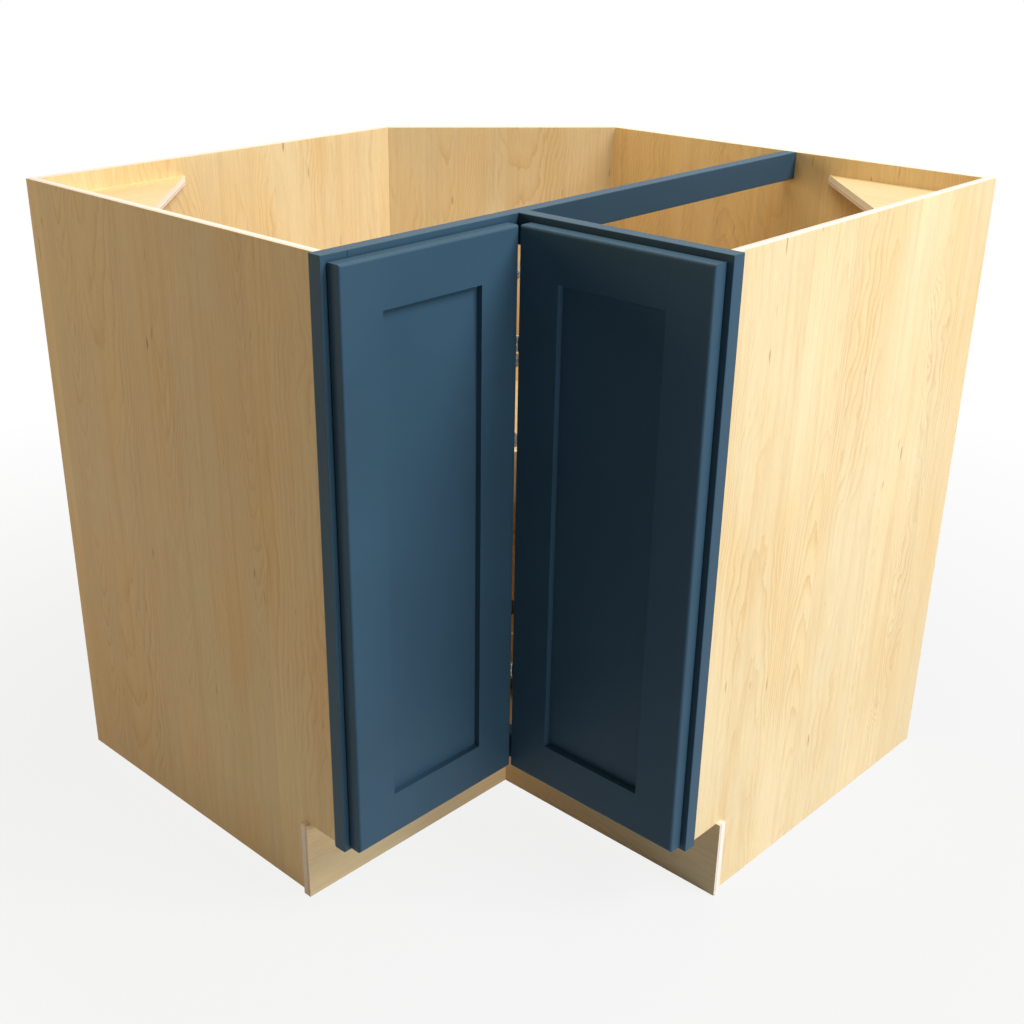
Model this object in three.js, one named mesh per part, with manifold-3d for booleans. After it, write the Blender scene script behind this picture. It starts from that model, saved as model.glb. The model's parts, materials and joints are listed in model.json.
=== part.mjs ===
// Corner base cabinet with a two-tray carousel behind a pair of folding doors.
// Millimetres, +Z up. The origin is the middle of the square footprint, at floor level. The left wing
// lies along the wall at -X and its door faces +X. The right wing lies along the wall at +Y, its door
// faces -Y, and it mirrors the left wing across the vertical plane y = -x.
import * as THREE from 'three';
import { mergeVertices } from 'three/addons/utils/BufferGeometryUtils.js';
import Module from 'manifold-3d';

// Carcass
const WALL_LENGTH = 914.4; // along each wall, from the room's corner
const CABINET_HEIGHT = 876.3;
const WING_DEPTH = 609.6; // wall to the front of the face frame
const CORNER_CHAMFER = 266.7; // cut from each wall at the room's corner
const PLY = 12.7;
const TOE_HEIGHT = 114.3;
const TOE_SETBACK = 76.2; // face frame's front to the toe board's front
const GUSSET_LEG = 228.6;
const GUSSET_DROP = 25.4; // cabinet top to the gusset's top face
const FLOOR_HOUSING = 6.35; // the floor's depth in each end panel
const JOINT_GAP = 0.2; // glue room round a housed edge

// Face frame
const FRAME_THICKNESS = 19.05;
const STILE_WIDTH = 38.1;
const TOP_RAIL_HEIGHT = 38.1;
const BOTTOM_RAIL_HEIGHT = 38.1;
const STILE_OVERHANG = 6.35; // the stile's side beyond the end panel
const STILE_HOUSING = 6.35; // the end panel's depth in the stile

// Doors
const DOOR_THICKNESS = 19.05;
const DOOR_OFFSET = 1.5; // face frame to the door's back
const DOOR_SIDE_REVEAL = 7.9;
const DOOR_TOP_REVEAL = 7.9;
const DOOR_BOTTOM_REVEAL = 4.7;
const DOOR_CORNER_GAP = 1.6;
const DOOR_STILE_WIDTH = 60.3;
const DOOR_RAIL_WIDTH = 60.3;
const PANEL_THICKNESS = 6.35;
const PANEL_RECESS = 8.5; // door front to panel front
const PANEL_HOUSING = 9.5; // the panel's depth in its frame
const PANEL_GAP = 0.3;

// Concealed hinges, left stile to left door
const CUP_HINGE_INSET = 90; // door end to hinge middle
const CUP_RADIUS = 17.5;
const CUP_DEPTH = 12;
const CUP_WALL = 1.5;
const CUP_EDGE_DISTANCE = 3; // door's outer edge to the cup
const CUP_GAP = 0.3;
const HINGE_PLATE_HEIGHT = 44;
const HINGE_PLATE_THICKNESS = 8;
const HINGE_PLATE_LENGTH = 35.5;
const HINGE_PLATE_SETBACK = 2.9; // frame's front to the plate's end
const HINGE_ARM_HEIGHT = 14;
const HINGE_ARM_THICKNESS = 8;
const HINGE_ARM_LENGTH = 48.5;
const HINGE_NOSE_REACH = 6.1; // into the cup, past the door's back
const HINGE_NOSE_THICKNESS = 5;
const HINGE_NOSE_CLEARANCE = 1; // to the stile's edge

// Fold hinges, door to door
const FOLD_HINGE_INSET = 147; // door end to hinge middle
const FOLD_LEAF_HEIGHT = 64;
const FOLD_LEAF_THICKNESS = 2;
const FOLD_LEAF_WIDTH = 40;
const FOLD_BARREL_HEIGHT = 18;
const FOLD_BARREL_RADIUS = 4.5;
const FOLD_PIN_RADIUS = 2;
const FOLD_PIN_GAP = 0.1;
const FOLD_KNUCKLE_GAP = 0.4;
const FOLD_PIN_STICKOUT = 1.2;

const BUMPER_RADIUS = 4;
const BUMPER_THICKNESS = 1.2;
const BUMPER_INSET = 75; // door end to bumper
const BUMPER_EDGE = 11.3; // door's outer edge to bumper

// Carousel
const TRAY_REAR_CLEARANCE = 23.7; // tray to the diagonal back
const TRAY_FRONT_CLEARANCE = 43.5; // tray to the axis of the fold hinges
const TRAY_FLOOR_GAP = 34; // floor to the lower tray's underside
const TRAY_SPACING = 285.8; // underside to underside
const TRAY_BASE = 12.7;
const RIM_HEIGHT = 76.2;
const RIM_THICKNESS = 6.35;
const NOTCH_OFFSET = 122.4; // tray's centre to each straight side of the notch
const NOTCH_RADIUS = 60; // outside of the rim at the notch's inner corner
const NOTCH_TIP_RADIUS = 45; // outside of the rim where a notch side meets the round edge
const RIM_GAP = 0.3;
const POLE_RADIUS = 12.7;
const POLE_WALL = 1.6;
const POLE_FIT = 0.3; // running clearance round each tube
const POLE_SPLIT = 150; // upper tray's underside to the outer tube's end
const POLE_OVERLAP = 70; // the inner tube's length inside the outer tube
const HUB_FLANGE_RADIUS = 45;
const HUB_FLANGE_THICKNESS = 4;
const HUB_BARREL_RADIUS = 20;
const HUB_BARREL_RISE = 14; // above the tray's base
const COLLAR_RADIUS = 21;
const COLLAR_HEIGHT = 13;
const COLLAR_GAP = 0.3;
const COLLAR_FIT = 0.1;
const FOOT_RADIUS = 45;
const FOOT_THICKNESS = 4;
const FOOT_BOSS_RADIUS = 18;
const FOOT_BOSS_RISE = 8;
const BRACKET_THICKNESS = 4;
const BRACKET_WIDTH = 38;
const BRACKET_DROP = 118; // stretcher's underside to the arm's top face
const BRACKET_LEG = 56; // down the diagonal back
const BRACKET_NOSE = 25; // past the pole's axis
const BUSH_RADIUS = 15;
const BUSH_FLANGE_RADIUS = 18;
const BUSH_FLANGE = 3;
const POLE_STICKOUT = 6; // above the bush

// Roundness of turned and bent pieces
const ROUND_STEPS = 48;
const SMALL_STEPS = 24;
const OUTLINE_STEP = Math.PI / 30; // widest angle between points on a bent edge

// The left wing's planes
const wallX = -WALL_LENGTH / 2;
const sideY = -WALL_LENGTH / 2;
const backInnerX = wallX + PLY;
const endOuterY = sideY + STILE_OVERHANG;
const endInnerY = endOuterY + PLY;
const frontX = wallX + WING_DEPTH;
const frameRearX = frontX - FRAME_THICKNESS;
const stileInnerY = sideY + STILE_WIDTH;
const toeFrontX = frontX - TOE_SETBACK;
const toeRearX = toeFrontX - PLY;
const floorTop = TOE_HEIGHT + PLY;
const topRailBottom = CABINET_HEIGHT - TOP_RAIL_HEIGHT;
const bottomRailTop = TOE_HEIGHT + BOTTOM_RAIL_HEIGHT;

// The diagonal back runs along lines y - x = constant.
const chamferOuter = WALL_LENGTH - CORNER_CHAMFER;
const chamferInner = chamferOuter - PLY * Math.SQRT2;
const chamferOuterPoint = [wallX, wallX + chamferOuter];
const chamferInnerPoint = [backInnerX, backInnerX + chamferInner];

// The left door's planes
const doorRearX = frontX + DOOR_OFFSET;
const doorFrontX = doorRearX + DOOR_THICKNESS;
const doorOuterY = sideY + DOOR_SIDE_REVEAL;
const doorInnerY = -(doorFrontX + DOOR_CORNER_GAP);
const doorBottom = TOE_HEIGHT + DOOR_BOTTOM_REVEAL;
const doorTop = CABINET_HEIGHT - DOOR_TOP_REVEAL;
const foldAxis = [(doorRearX + doorFrontX) / 2 + DOOR_CORNER_GAP / 4, 0];
foldAxis[1] = -foldAxis[0];

// The carousel stands on the cabinet's diagonal, between the diagonal back and the fold hinges.
const diagonalRoom = (chamferInner + 2 * foldAxis[0]) / Math.SQRT2;
const trayRadius = (diagonalRoom - TRAY_REAR_CLEARANCE - TRAY_FRONT_CLEARANCE) / 2;
const poleOffset = (chamferInner / Math.SQRT2 - TRAY_REAR_CLEARANCE - trayRadius) / Math.SQRT2;
const pole = [-poleOffset, poleOffset];
const lowerTrayZ = floorTop + TRAY_FLOOR_GAP;
const upperTrayZ = lowerTrayZ + TRAY_SPACING;
const innerTubeRadius = POLE_RADIUS - POLE_WALL - POLE_FIT;
const outerTubeTop = upperTrayZ + POLE_SPLIT;
const bracketArmTop = topRailBottom - BRACKET_DROP;
const bushTop = bracketArmTop + BUSH_FLANGE;

// Colours, roughness and metalness
const BLUE_PAINT = [0x3e5c73, 0.45, 0];
const MAPLE = [0xe2c08a, 0.5, 0];
const MAPLE_LIGHT = [0xe9cc9c, 0.5, 0];
const NICKEL = [0xb9b9b4, 0.3, 1];
const CHROME = [0xcfd2d4, 0.15, 1];
const GREY_PLASTIC = [0x8c8f90, 0.5, 0];
const CLEAR_BUMPER = [0xd9dcda, 0.35, 0];

const wasm = await Module();
wasm.setup();

const cabinet = new THREE.Group();

function add(name, geometry, [color, roughness, metalness]) {
  const mesh = new THREE.Mesh(geometry, new THREE.MeshStandardMaterial({ color, roughness, metalness }));
  mesh.name = name;
  cabinet.add(mesh);
}

// Places a plan point of the left wing in either wing.
const wings = {
  left: ([x, y]) => [x, y],
  right: ([x, y]) => [-y, -x],
};

// A block between two plan corners and two heights, in the named wing.
function slab(side, [x0, x1], [y0, y1], [z0, z1]) {
  const [ax, ay] = wings[side]([x0, y0]);
  const [bx, by] = wings[side]([x1, y1]);
  const geometry = new THREE.BoxGeometry(Math.abs(bx - ax), Math.abs(by - ay), z1 - z0);
  return geometry.translate((ax + bx) / 2, (ay + by) / 2, (z0 + z1) / 2);
}

// A plan outline carried straight up, with any holes given as further outlines.
function prism(outline, [z0, z1], holes = []) {
  const toVector = ([x, y]) => new THREE.Vector2(x, y);
  const shape = new THREE.Shape(outline.map(toVector));
  shape.holes = holes.map((hole) => new THREE.Path(hole.map(toVector)));
  return new THREE.ExtrudeGeometry(shape, { depth: z1 - z0, bevelEnabled: false }).translate(0, 0, z0);
}

// Points along an arc, ends included.
function arc([cx, cy], radius, start, end) {
  const steps = Math.max(2, Math.ceil(Math.abs(end - start) / OUTLINE_STEP));
  return Array.from({ length: steps + 1 }, (_, i) => {
    const angle = start + ((end - start) * i) / steps;
    return [cx + radius * Math.cos(angle), cy + radius * Math.sin(angle)];
  });
}

function circle(centre, radius, steps = ROUND_STEPS) {
  return Array.from({ length: steps }, (_, i) => {
    const angle = (2 * Math.PI * i) / steps;
    return [centre[0] + radius * Math.cos(angle), centre[1] + radius * Math.sin(angle)];
  });
}

function rod(centre, radius, heights, steps = ROUND_STEPS) {
  return prism(circle(centre, radius, steps), heights);
}

function tube(centre, outer, inner, heights, steps = ROUND_STEPS) {
  return prism(circle(centre, outer, steps), heights, [circle(centre, inner, steps)]);
}

function toSolid(geometry) {
  const bare = geometry.clone();
  bare.deleteAttribute('normal');
  bare.deleteAttribute('uv');
  const merged = mergeVertices(bare, 1e-4);
  return new wasm.Manifold(new wasm.Mesh({
    numProp: 3,
    vertProperties: new Float32Array(merged.attributes.position.array),
    triVerts: new Uint32Array(merged.index.array),
  }));
}

function toGeometry(solid) {
  const mesh = solid.getMesh();
  const geometry = new THREE.BufferGeometry();
  geometry.setAttribute('position', new THREE.BufferAttribute(new Float32Array(mesh.vertProperties), 3));
  geometry.setIndex(new THREE.BufferAttribute(new Uint32Array(mesh.triVerts), 1));
  geometry.computeVertexNormals();
  return geometry;
}

function join(...geometries) {
  return toGeometry(geometries.map(toSolid).reduce((whole, piece) => whole.add(piece)));
}

function cut(geometry, ...cutters) {
  const whole = toSolid(geometry);
  return toGeometry(cutters.map(toSolid).reduce((left, cutter) => left.subtract(cutter), whole));
}

// The end panel: notched for the toe recess and grooved for the floor.
function endPanel(side) {
  const frontEdge = frameRearX + STILE_HOUSING - JOINT_GAP;
  const board = slab(side, [wallX, frontEdge], [endOuterY, endInnerY], [0, CABINET_HEIGHT]);
  const notchWidth = [endOuterY - PLY, endInnerY + PLY];
  const notch = slab(side, [toeRearX, frontEdge + PLY], notchWidth, [-PLY, TOE_HEIGHT]);
  const groove = slab(
    side,
    [backInnerX - JOINT_GAP, frameRearX + JOINT_GAP],
    [endInnerY - FLOOR_HOUSING - JOINT_GAP, endInnerY + PLY],
    [TOE_HEIGHT, floorTop + JOINT_GAP],
  );
  return cut(board, notch, groove);
}

// A back panel lies against the wall and is mitred to the diagonal back.
function backPanel(side) {
  const outline = [[wallX, endInnerY], [backInnerX, endInnerY], chamferInnerPoint, chamferOuterPoint];
  const placed = outline.map(wings[side]);
  return prism(side === 'left' ? placed : placed.reverse(), [0, CABINET_HEIGHT]);
}

function cornerBackPanel() {
  const inner = [chamferInnerPoint, wings.right(chamferInnerPoint)];
  const outer = [wings.right(chamferOuterPoint), chamferOuterPoint];
  return prism([...inner, ...outer], [0, CABINET_HEIGHT]);
}

function floorPanel() {
  const leftEdge = [
    chamferInnerPoint,
    [backInnerX, endInnerY - FLOOR_HOUSING],
    [frameRearX, endInnerY - FLOOR_HOUSING],
  ];
  const rightEdge = leftEdge.map(wings.right).reverse();
  return prism([...leftEdge, [frameRearX, -frameRearX], ...rightEdge], [TOE_HEIGHT, floorTop]);
}

function gusset(side) {
  const outline = [
    [backInnerX, endInnerY],
    [backInnerX + GUSSET_LEG, endInnerY],
    [backInnerX, endInnerY + GUSSET_LEG],
  ];
  const placed = outline.map(wings[side]);
  const top = CABINET_HEIGHT - GUSSET_DROP;
  return prism(side === 'left' ? placed : placed.reverse(), [top - PLY, top]);
}

// A stile wraps the end panel's front edge with a groove in its back.
function stile(side) {
  const post = slab(side, [frameRearX, frontX], [sideY, stileInnerY], [TOE_HEIGHT, CABINET_HEIGHT]);
  const groove = slab(
    side,
    [frameRearX - PLY, frameRearX + STILE_HOUSING],
    [endOuterY - JOINT_GAP, endInnerY + JOINT_GAP],
    [TOE_HEIGHT - PLY, CABINET_HEIGHT + PLY],
  );
  return cut(post, groove);
}

function addCarcass() {
  for (const side of ['left', 'right']) {
    add(`${side}_end_panel`, endPanel(side), MAPLE);
    add(`${side}_back_panel`, backPanel(side), MAPLE_LIGHT);
    add(`${side}_gusset`, gusset(side), MAPLE_LIGHT);
    add(`${side}_stile`, stile(side), BLUE_PAINT);
  }
  add('corner_back_panel', cornerBackPanel(), MAPLE_LIGHT);
  add('floor_panel', floorPanel(), MAPLE_LIGHT);
  add('left_toe_board', slab('left', [toeRearX, toeFrontX], [sideY, -toeRearX], [0, TOE_HEIGHT]), MAPLE);
  add('right_toe_board', slab('right', [toeRearX, toeFrontX], [sideY, -toeFrontX], [0, TOE_HEIGHT]), MAPLE);
}

// The left rails run through at the inner corner. The left top rail goes on to the right back panel
// as a stretcher, and the right rails butt against the front of the left ones.
function addRails() {
  const depth = [frameRearX, frontX];
  const topHeights = [topRailBottom, CABINET_HEIGHT];
  const bottomHeights = [TOE_HEIGHT, bottomRailTop];
  add('left_top_rail', slab('left', depth, [stileInnerY, -backInnerX], topHeights), BLUE_PAINT);
  add('right_top_rail', slab('right', depth, [stileInnerY, -frontX], topHeights), BLUE_PAINT);
  add('left_bottom_rail', slab('left', depth, [stileInnerY, -frameRearX], bottomHeights), BLUE_PAINT);
  add('right_bottom_rail', slab('right', depth, [stileInnerY, -frontX], bottomHeights), BLUE_PAINT);
}

// Heights of the two concealed hinges and of the two fold hinges.
const cupHingeHeights = { lower: doorBottom + CUP_HINGE_INSET, upper: doorTop - CUP_HINGE_INSET };
const foldHingeHeights = { lower: doorBottom + FOLD_HINGE_INSET, upper: doorTop - FOLD_HINGE_INSET };
const cupY = doorOuterY + CUP_EDGE_DISTANCE + CUP_RADIUS;

// A cylinder lying along X, from the door's back into its thickness.
function cupCylinder(radius, depth, height) {
  const lying = new THREE.CylinderGeometry(radius, radius, depth, ROUND_STEPS).rotateZ(Math.PI / 2);
  return lying.translate(depth / 2, cupY, height);
}

function hingeCup(height) {
  const outside = cupCylinder(CUP_RADIUS, CUP_DEPTH, height).translate(doorRearX, 0, 0);
  const hollowDepth = 2 * (CUP_DEPTH - CUP_WALL);
  const hollow = cupCylinder(CUP_RADIUS - CUP_WALL, hollowDepth, height);
  return cut(outside, hollow.translate(doorRearX - hollowDepth / 2, 0, 0));
}

function cupBore(height) {
  const boreDepth = 2 * (CUP_DEPTH + CUP_GAP);
  return cupCylinder(CUP_RADIUS + CUP_GAP, boreDepth, height).translate(doorRearX - boreDepth / 2, 0, 0);
}

// Five pieces: two stiles through, two rails between them, and a flat panel housed in all four.
function addDoor(side) {
  const depth = [doorRearX, doorFrontX];
  const panelFrontX = doorFrontX - PANEL_RECESS;
  const panelDepth = [panelFrontX - PANEL_THICKNESS, panelFrontX];
  const outerStile = [doorOuterY, doorOuterY + DOOR_STILE_WIDTH];
  const innerStile = [doorInnerY - DOOR_STILE_WIDTH, doorInnerY];
  const openWidth = [outerStile[1], innerStile[0]];
  const openHeight = [doorBottom + DOOR_RAIL_WIDTH, doorTop - DOOR_RAIL_WIDTH];
  const grown = ([low, high], margin) => [low - margin, high + margin];
  const panelWidth = grown(openWidth, PANEL_HOUSING);
  const panelHeight = grown(openHeight, PANEL_HOUSING);
  const groove = slab(
    side,
    grown(panelDepth, PANEL_GAP),
    grown(panelWidth, PANEL_GAP),
    grown(panelHeight, PANEL_GAP),
  );
  const bores = side === 'left' ? Object.values(cupHingeHeights).map(cupBore) : [];
  const piece = (width, heights, ...cutters) => cut(slab(side, depth, width, heights), groove, ...cutters);
  add(`${side}_door_outer_stile`, piece(outerStile, [doorBottom, doorTop], ...bores), BLUE_PAINT);
  add(`${side}_door_inner_stile`, piece(innerStile, [doorBottom, doorTop]), BLUE_PAINT);
  add(`${side}_door_top_rail`, piece(openWidth, [openHeight[1], doorTop]), BLUE_PAINT);
  add(`${side}_door_bottom_rail`, piece(openWidth, [doorBottom, openHeight[0]]), BLUE_PAINT);
  add(`${side}_door_panel`, slab(side, panelDepth, panelWidth, panelHeight), BLUE_PAINT);
}

// The arm lies on its plate and its nose reaches into the cup, between the stile and the cup's wall.
function hingeArm(height) {
  const plateTopY = stileInnerY + HINGE_PLATE_THICKNESS;
  const armTopY = plateTopY + HINGE_ARM_THICKNESS;
  const armEndX = frontX + DOOR_OFFSET / 3;
  const neckX = frontX - HINGE_PLATE_SETBACK + JOINT_GAP;
  const noseX = doorRearX + HINGE_NOSE_REACH;
  const noseInnerY = stileInnerY + HINGE_NOSE_CLEARANCE;
  const outline = [
    [armEndX - HINGE_ARM_LENGTH, plateTopY],
    [neckX, plateTopY],
    [neckX, noseInnerY],
    [doorRearX, noseInnerY],
    [noseX, noseInnerY - HINGE_NOSE_CLEARANCE],
    [noseX, noseInnerY - HINGE_NOSE_CLEARANCE + HINGE_NOSE_THICKNESS / 2],
    [armEndX, noseInnerY + HINGE_NOSE_THICKNESS / 2],
    [armEndX, armTopY],
    [armEndX - HINGE_ARM_LENGTH, armTopY],
  ];
  return prism(outline, [height - HINGE_ARM_HEIGHT / 2, height + HINGE_ARM_HEIGHT / 2]);
}

function addCupHinges() {
  const plateEndX = frontX - HINGE_PLATE_SETBACK;
  for (const [level, height] of Object.entries(cupHingeHeights)) {
    const plate = slab(
      'left',
      [plateEndX - HINGE_PLATE_LENGTH, plateEndX],
      [stileInnerY, stileInnerY + HINGE_PLATE_THICKNESS],
      [height - HINGE_PLATE_HEIGHT / 2, height + HINGE_PLATE_HEIGHT / 2],
    );
    add(`${level}_hinge_plate`, plate, NICKEL);
    add(`${level}_hinge_arm`, hingeArm(height), NICKEL);
    add(`${level}_hinge_cup`, hingeCup(height), NICKEL);
  }
}

// One leaf lies on the back of its door and turns in to its knuckles on the corner's axis.
function foldLeaf(side, height, knuckles) {
  const leafHeights = [height - FOLD_LEAF_HEIGHT / 2, height + FOLD_LEAF_HEIGHT / 2];
  const leafX = [doorRearX - FOLD_LEAF_THICKNESS, doorRearX];
  const tabY = [foldAxis[1] - FOLD_LEAF_THICKNESS / 2, foldAxis[1] + FOLD_LEAF_THICKNESS / 2];
  const pieces = [slab(side, leafX, [doorInnerY - FOLD_LEAF_WIDTH, doorInnerY], leafHeights)];
  for (const heights of knuckles) {
    pieces.push(slab(side, leafX, [doorInnerY - FOLD_LEAF_THICKNESS, tabY[1]], heights));
    pieces.push(slab(side, [leafX[0], foldAxis[0]], tabY, heights));
    pieces.push(rod(foldAxis, FOLD_BARREL_RADIUS, heights, SMALL_STEPS));
  }
  const pinHole = rod(foldAxis, FOLD_PIN_RADIUS + FOLD_PIN_GAP, leafHeights, SMALL_STEPS);
  return cut(join(...pieces), pinHole);
}

// The short barrel has a knuckle of the left leaf at each end and one of the right leaf in the middle.
function addFoldHinges() {
  const third = FOLD_BARREL_HEIGHT / 3;
  for (const [level, height] of Object.entries(foldHingeHeights)) {
    const bottom = height - FOLD_BARREL_HEIGHT / 2;
    const top = height + FOLD_BARREL_HEIGHT / 2;
    const ends = [[bottom, bottom + third], [top - third, top]];
    const middle = [[bottom + third + FOLD_KNUCKLE_GAP, top - third - FOLD_KNUCKLE_GAP]];
    const pinEnds = [bottom - FOLD_PIN_STICKOUT, top + FOLD_PIN_STICKOUT];
    add(`${level}_fold_left_leaf`, foldLeaf('left', height, ends), NICKEL);
    add(`${level}_fold_right_leaf`, foldLeaf('right', height, middle), NICKEL);
    add(`${level}_fold_pin`, rod(foldAxis, FOLD_PIN_RADIUS, pinEnds, SMALL_STEPS), NICKEL);
  }
}

function addBumpers() {
  const heights = { lower: doorBottom + BUMPER_INSET, upper: doorTop - BUMPER_INSET };
  for (const [level, height] of Object.entries(heights)) {
    const disc = new THREE.CylinderGeometry(BUMPER_RADIUS, BUMPER_RADIUS, BUMPER_THICKNESS, SMALL_STEPS);
    disc.translate(-(doorOuterY + BUMPER_EDGE), -doorRearX + BUMPER_THICKNESS / 2, height);
    add(`${level}_door_bumper`, disc, CLEAR_BUMPER);
  }
}

// A round tray's outline with a rounded notch towards the doors' corner, drawn in by an inset.
function kidney(inset) {
  const radius = trayRadius - inset;
  const tipRadius = NOTCH_TIP_RADIUS - inset;
  const innerRadius = NOTCH_RADIUS + inset;
  const tipY = NOTCH_TIP_RADIUS - NOTCH_OFFSET;
  const tipX = Math.sqrt((trayRadius - NOTCH_TIP_RADIUS) ** 2 - tipY ** 2);
  const tipAngle = Math.atan2(tipY, tipX);
  const notchCentre = NOTCH_OFFSET + NOTCH_RADIUS;
  const local = [
    ...arc([notchCentre, -notchCentre], innerRadius, Math.PI, Math.PI / 2),
    ...arc([tipX, tipY], tipRadius, -Math.PI / 2, tipAngle),
    ...arc([0, 0], radius, tipAngle, 1.5 * Math.PI - tipAngle).slice(1, -1),
    ...arc([-tipY, -tipX], tipRadius, 1.5 * Math.PI - tipAngle, 2 * Math.PI),
  ];
  return local.map(([x, y]) => [pole[0] + x, pole[1] + y]);
}

// The hub's flange carries the tray's base, and its barrel runs on the pole.
function hub(trayZ) {
  const bore = POLE_RADIUS + POLE_FIT;
  const flange = tube(pole, HUB_FLANGE_RADIUS, bore, [trayZ - HUB_FLANGE_THICKNESS, trayZ]);
  const barrelHeights = [trayZ - HUB_FLANGE_THICKNESS, trayZ + TRAY_BASE + HUB_BARREL_RISE];
  return join(flange, tube(pole, HUB_BARREL_RADIUS, bore, barrelHeights));
}

function addTray(level, trayZ) {
  const baseHeights = [trayZ, trayZ + TRAY_BASE];
  const hubHole = circle(pole, HUB_BARREL_RADIUS + RIM_GAP);
  const rim = prism(kidney(0), [trayZ, trayZ + RIM_HEIGHT], [kidney(RIM_THICKNESS)]);
  const collarTop = trayZ - HUB_FLANGE_THICKNESS - COLLAR_GAP;
  const collar = tube(pole, COLLAR_RADIUS, POLE_RADIUS + COLLAR_FIT, [collarTop - COLLAR_HEIGHT, collarTop]);
  add(`${level}_tray_base`, prism(kidney(RIM_THICKNESS + RIM_GAP), baseHeights, [hubHole]), MAPLE_LIGHT);
  add(`${level}_tray_rim`, rim, MAPLE);
  add(`${level}_tray_hub`, hub(trayZ), GREY_PLASTIC);
  add(`${level}_collar`, collar, CHROME);
}

function poleFoot() {
  const flange = rod(pole, FOOT_RADIUS, [floorTop, floorTop + FOOT_THICKNESS]);
  const boss = rod(pole, FOOT_BOSS_RADIUS, [floorTop, floorTop + FOOT_THICKNESS + FOOT_BOSS_RISE]);
  const socketTop = floorTop + FOOT_THICKNESS + FOOT_BOSS_RISE + PLY;
  return cut(join(flange, boss), rod(pole, POLE_RADIUS + COLLAR_FIT, [floorTop + FOOT_THICKNESS, socketTop]));
}

// A bar along the cabinet's diagonal, between two distances from the pole towards the diagonal back.
function diagonalBar([near, far], width, heights) {
  const outline = [[near, width / 2], [near, -width / 2], [far, -width / 2], [far, width / 2]];
  const placed = outline.map(([along, across]) => [
    pole[0] - (along + across) / Math.SQRT2,
    pole[1] + (along - across) / Math.SQRT2,
  ]);
  return prism(placed, heights);
}

// An angle strap: its leg hangs down the diagonal back and its arm reaches out to hold the pole's top.
function poleBracket() {
  const armHeights = [bracketArmTop - BRACKET_THICKNESS, bracketArmTop];
  const legHeights = [bracketArmTop - BRACKET_LEG, bracketArmTop];
  const reach = trayRadius + TRAY_REAR_CLEARANCE;
  const arm = diagonalBar([-BRACKET_NOSE, reach], BRACKET_WIDTH, armHeights);
  const leg = diagonalBar([reach - BRACKET_THICKNESS, reach], BRACKET_WIDTH, legHeights);
  return cut(join(arm, leg), rod(pole, BUSH_RADIUS + POLE_FIT, [armHeights[0] - PLY, bracketArmTop + PLY]));
}

function poleBush() {
  const bore = innerTubeRadius + POLE_FIT;
  const flange = tube(pole, BUSH_FLANGE_RADIUS, bore, [bracketArmTop, bushTop]);
  return join(flange, tube(pole, BUSH_RADIUS, bore, [bracketArmTop - BRACKET_THICKNESS, bushTop]));
}

function addPole() {
  const outerBore = POLE_RADIUS - POLE_WALL;
  const innerTube = [outerTubeTop - POLE_OVERLAP, bushTop + POLE_STICKOUT];
  const lockHeights = [outerTubeTop - COLLAR_HEIGHT, outerTubeTop];
  const outerTube = [floorTop + FOOT_THICKNESS, outerTubeTop];
  add('pole_outer_tube', tube(pole, POLE_RADIUS, outerBore, outerTube), CHROME);
  add('pole_inner_tube', tube(pole, innerTubeRadius, innerTubeRadius - POLE_WALL, innerTube), CHROME);
  add('pole_lock_collar', tube(pole, COLLAR_RADIUS, POLE_RADIUS + COLLAR_FIT, lockHeights), GREY_PLASTIC);
  add('pole_foot', poleFoot(), GREY_PLASTIC);
  add('pole_bracket', poleBracket(), NICKEL);
  add('pole_bush', poleBush(), GREY_PLASTIC);
}

addCarcass();
addRails();
addDoor('left');
addDoor('right');
addCupHinges();
addFoldHinges();
addBumpers();
addPole();
addTray('lower', lowerTrayZ);
addTray('upper', upperTrayZ);

export default cabinet;
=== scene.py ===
"""Corner carousel cabinet: the finished surfaces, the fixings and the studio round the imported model."""
import json
import math

import bpy
import numpy as np
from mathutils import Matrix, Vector


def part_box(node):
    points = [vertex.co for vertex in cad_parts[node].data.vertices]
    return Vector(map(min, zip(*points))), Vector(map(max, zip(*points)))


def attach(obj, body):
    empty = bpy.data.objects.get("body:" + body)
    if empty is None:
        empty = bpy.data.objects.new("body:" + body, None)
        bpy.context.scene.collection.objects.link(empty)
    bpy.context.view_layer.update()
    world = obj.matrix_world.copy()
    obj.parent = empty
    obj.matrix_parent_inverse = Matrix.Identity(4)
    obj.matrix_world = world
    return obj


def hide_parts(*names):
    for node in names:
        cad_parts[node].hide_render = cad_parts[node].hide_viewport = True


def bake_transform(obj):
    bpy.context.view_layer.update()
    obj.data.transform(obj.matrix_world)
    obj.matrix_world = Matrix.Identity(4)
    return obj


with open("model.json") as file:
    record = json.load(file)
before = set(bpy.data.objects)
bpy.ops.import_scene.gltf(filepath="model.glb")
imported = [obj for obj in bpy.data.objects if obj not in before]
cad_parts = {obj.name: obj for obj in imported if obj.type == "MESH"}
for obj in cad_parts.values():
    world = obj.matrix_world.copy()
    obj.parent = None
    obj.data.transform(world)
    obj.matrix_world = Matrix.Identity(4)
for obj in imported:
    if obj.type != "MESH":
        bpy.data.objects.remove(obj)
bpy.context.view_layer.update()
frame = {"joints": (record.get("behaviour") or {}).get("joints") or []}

bl_info = {
    "name": "Corner Carousel Cabinet",
    "version": (1, 0, 0),
    "blender": (4, 5, 0),
    "location": "3D View > Sidebar > Cabinet",
    "description": "Builds a corner base cabinet with folding doors and a two-tray carousel",
    "category": "Add Mesh",
}

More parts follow.
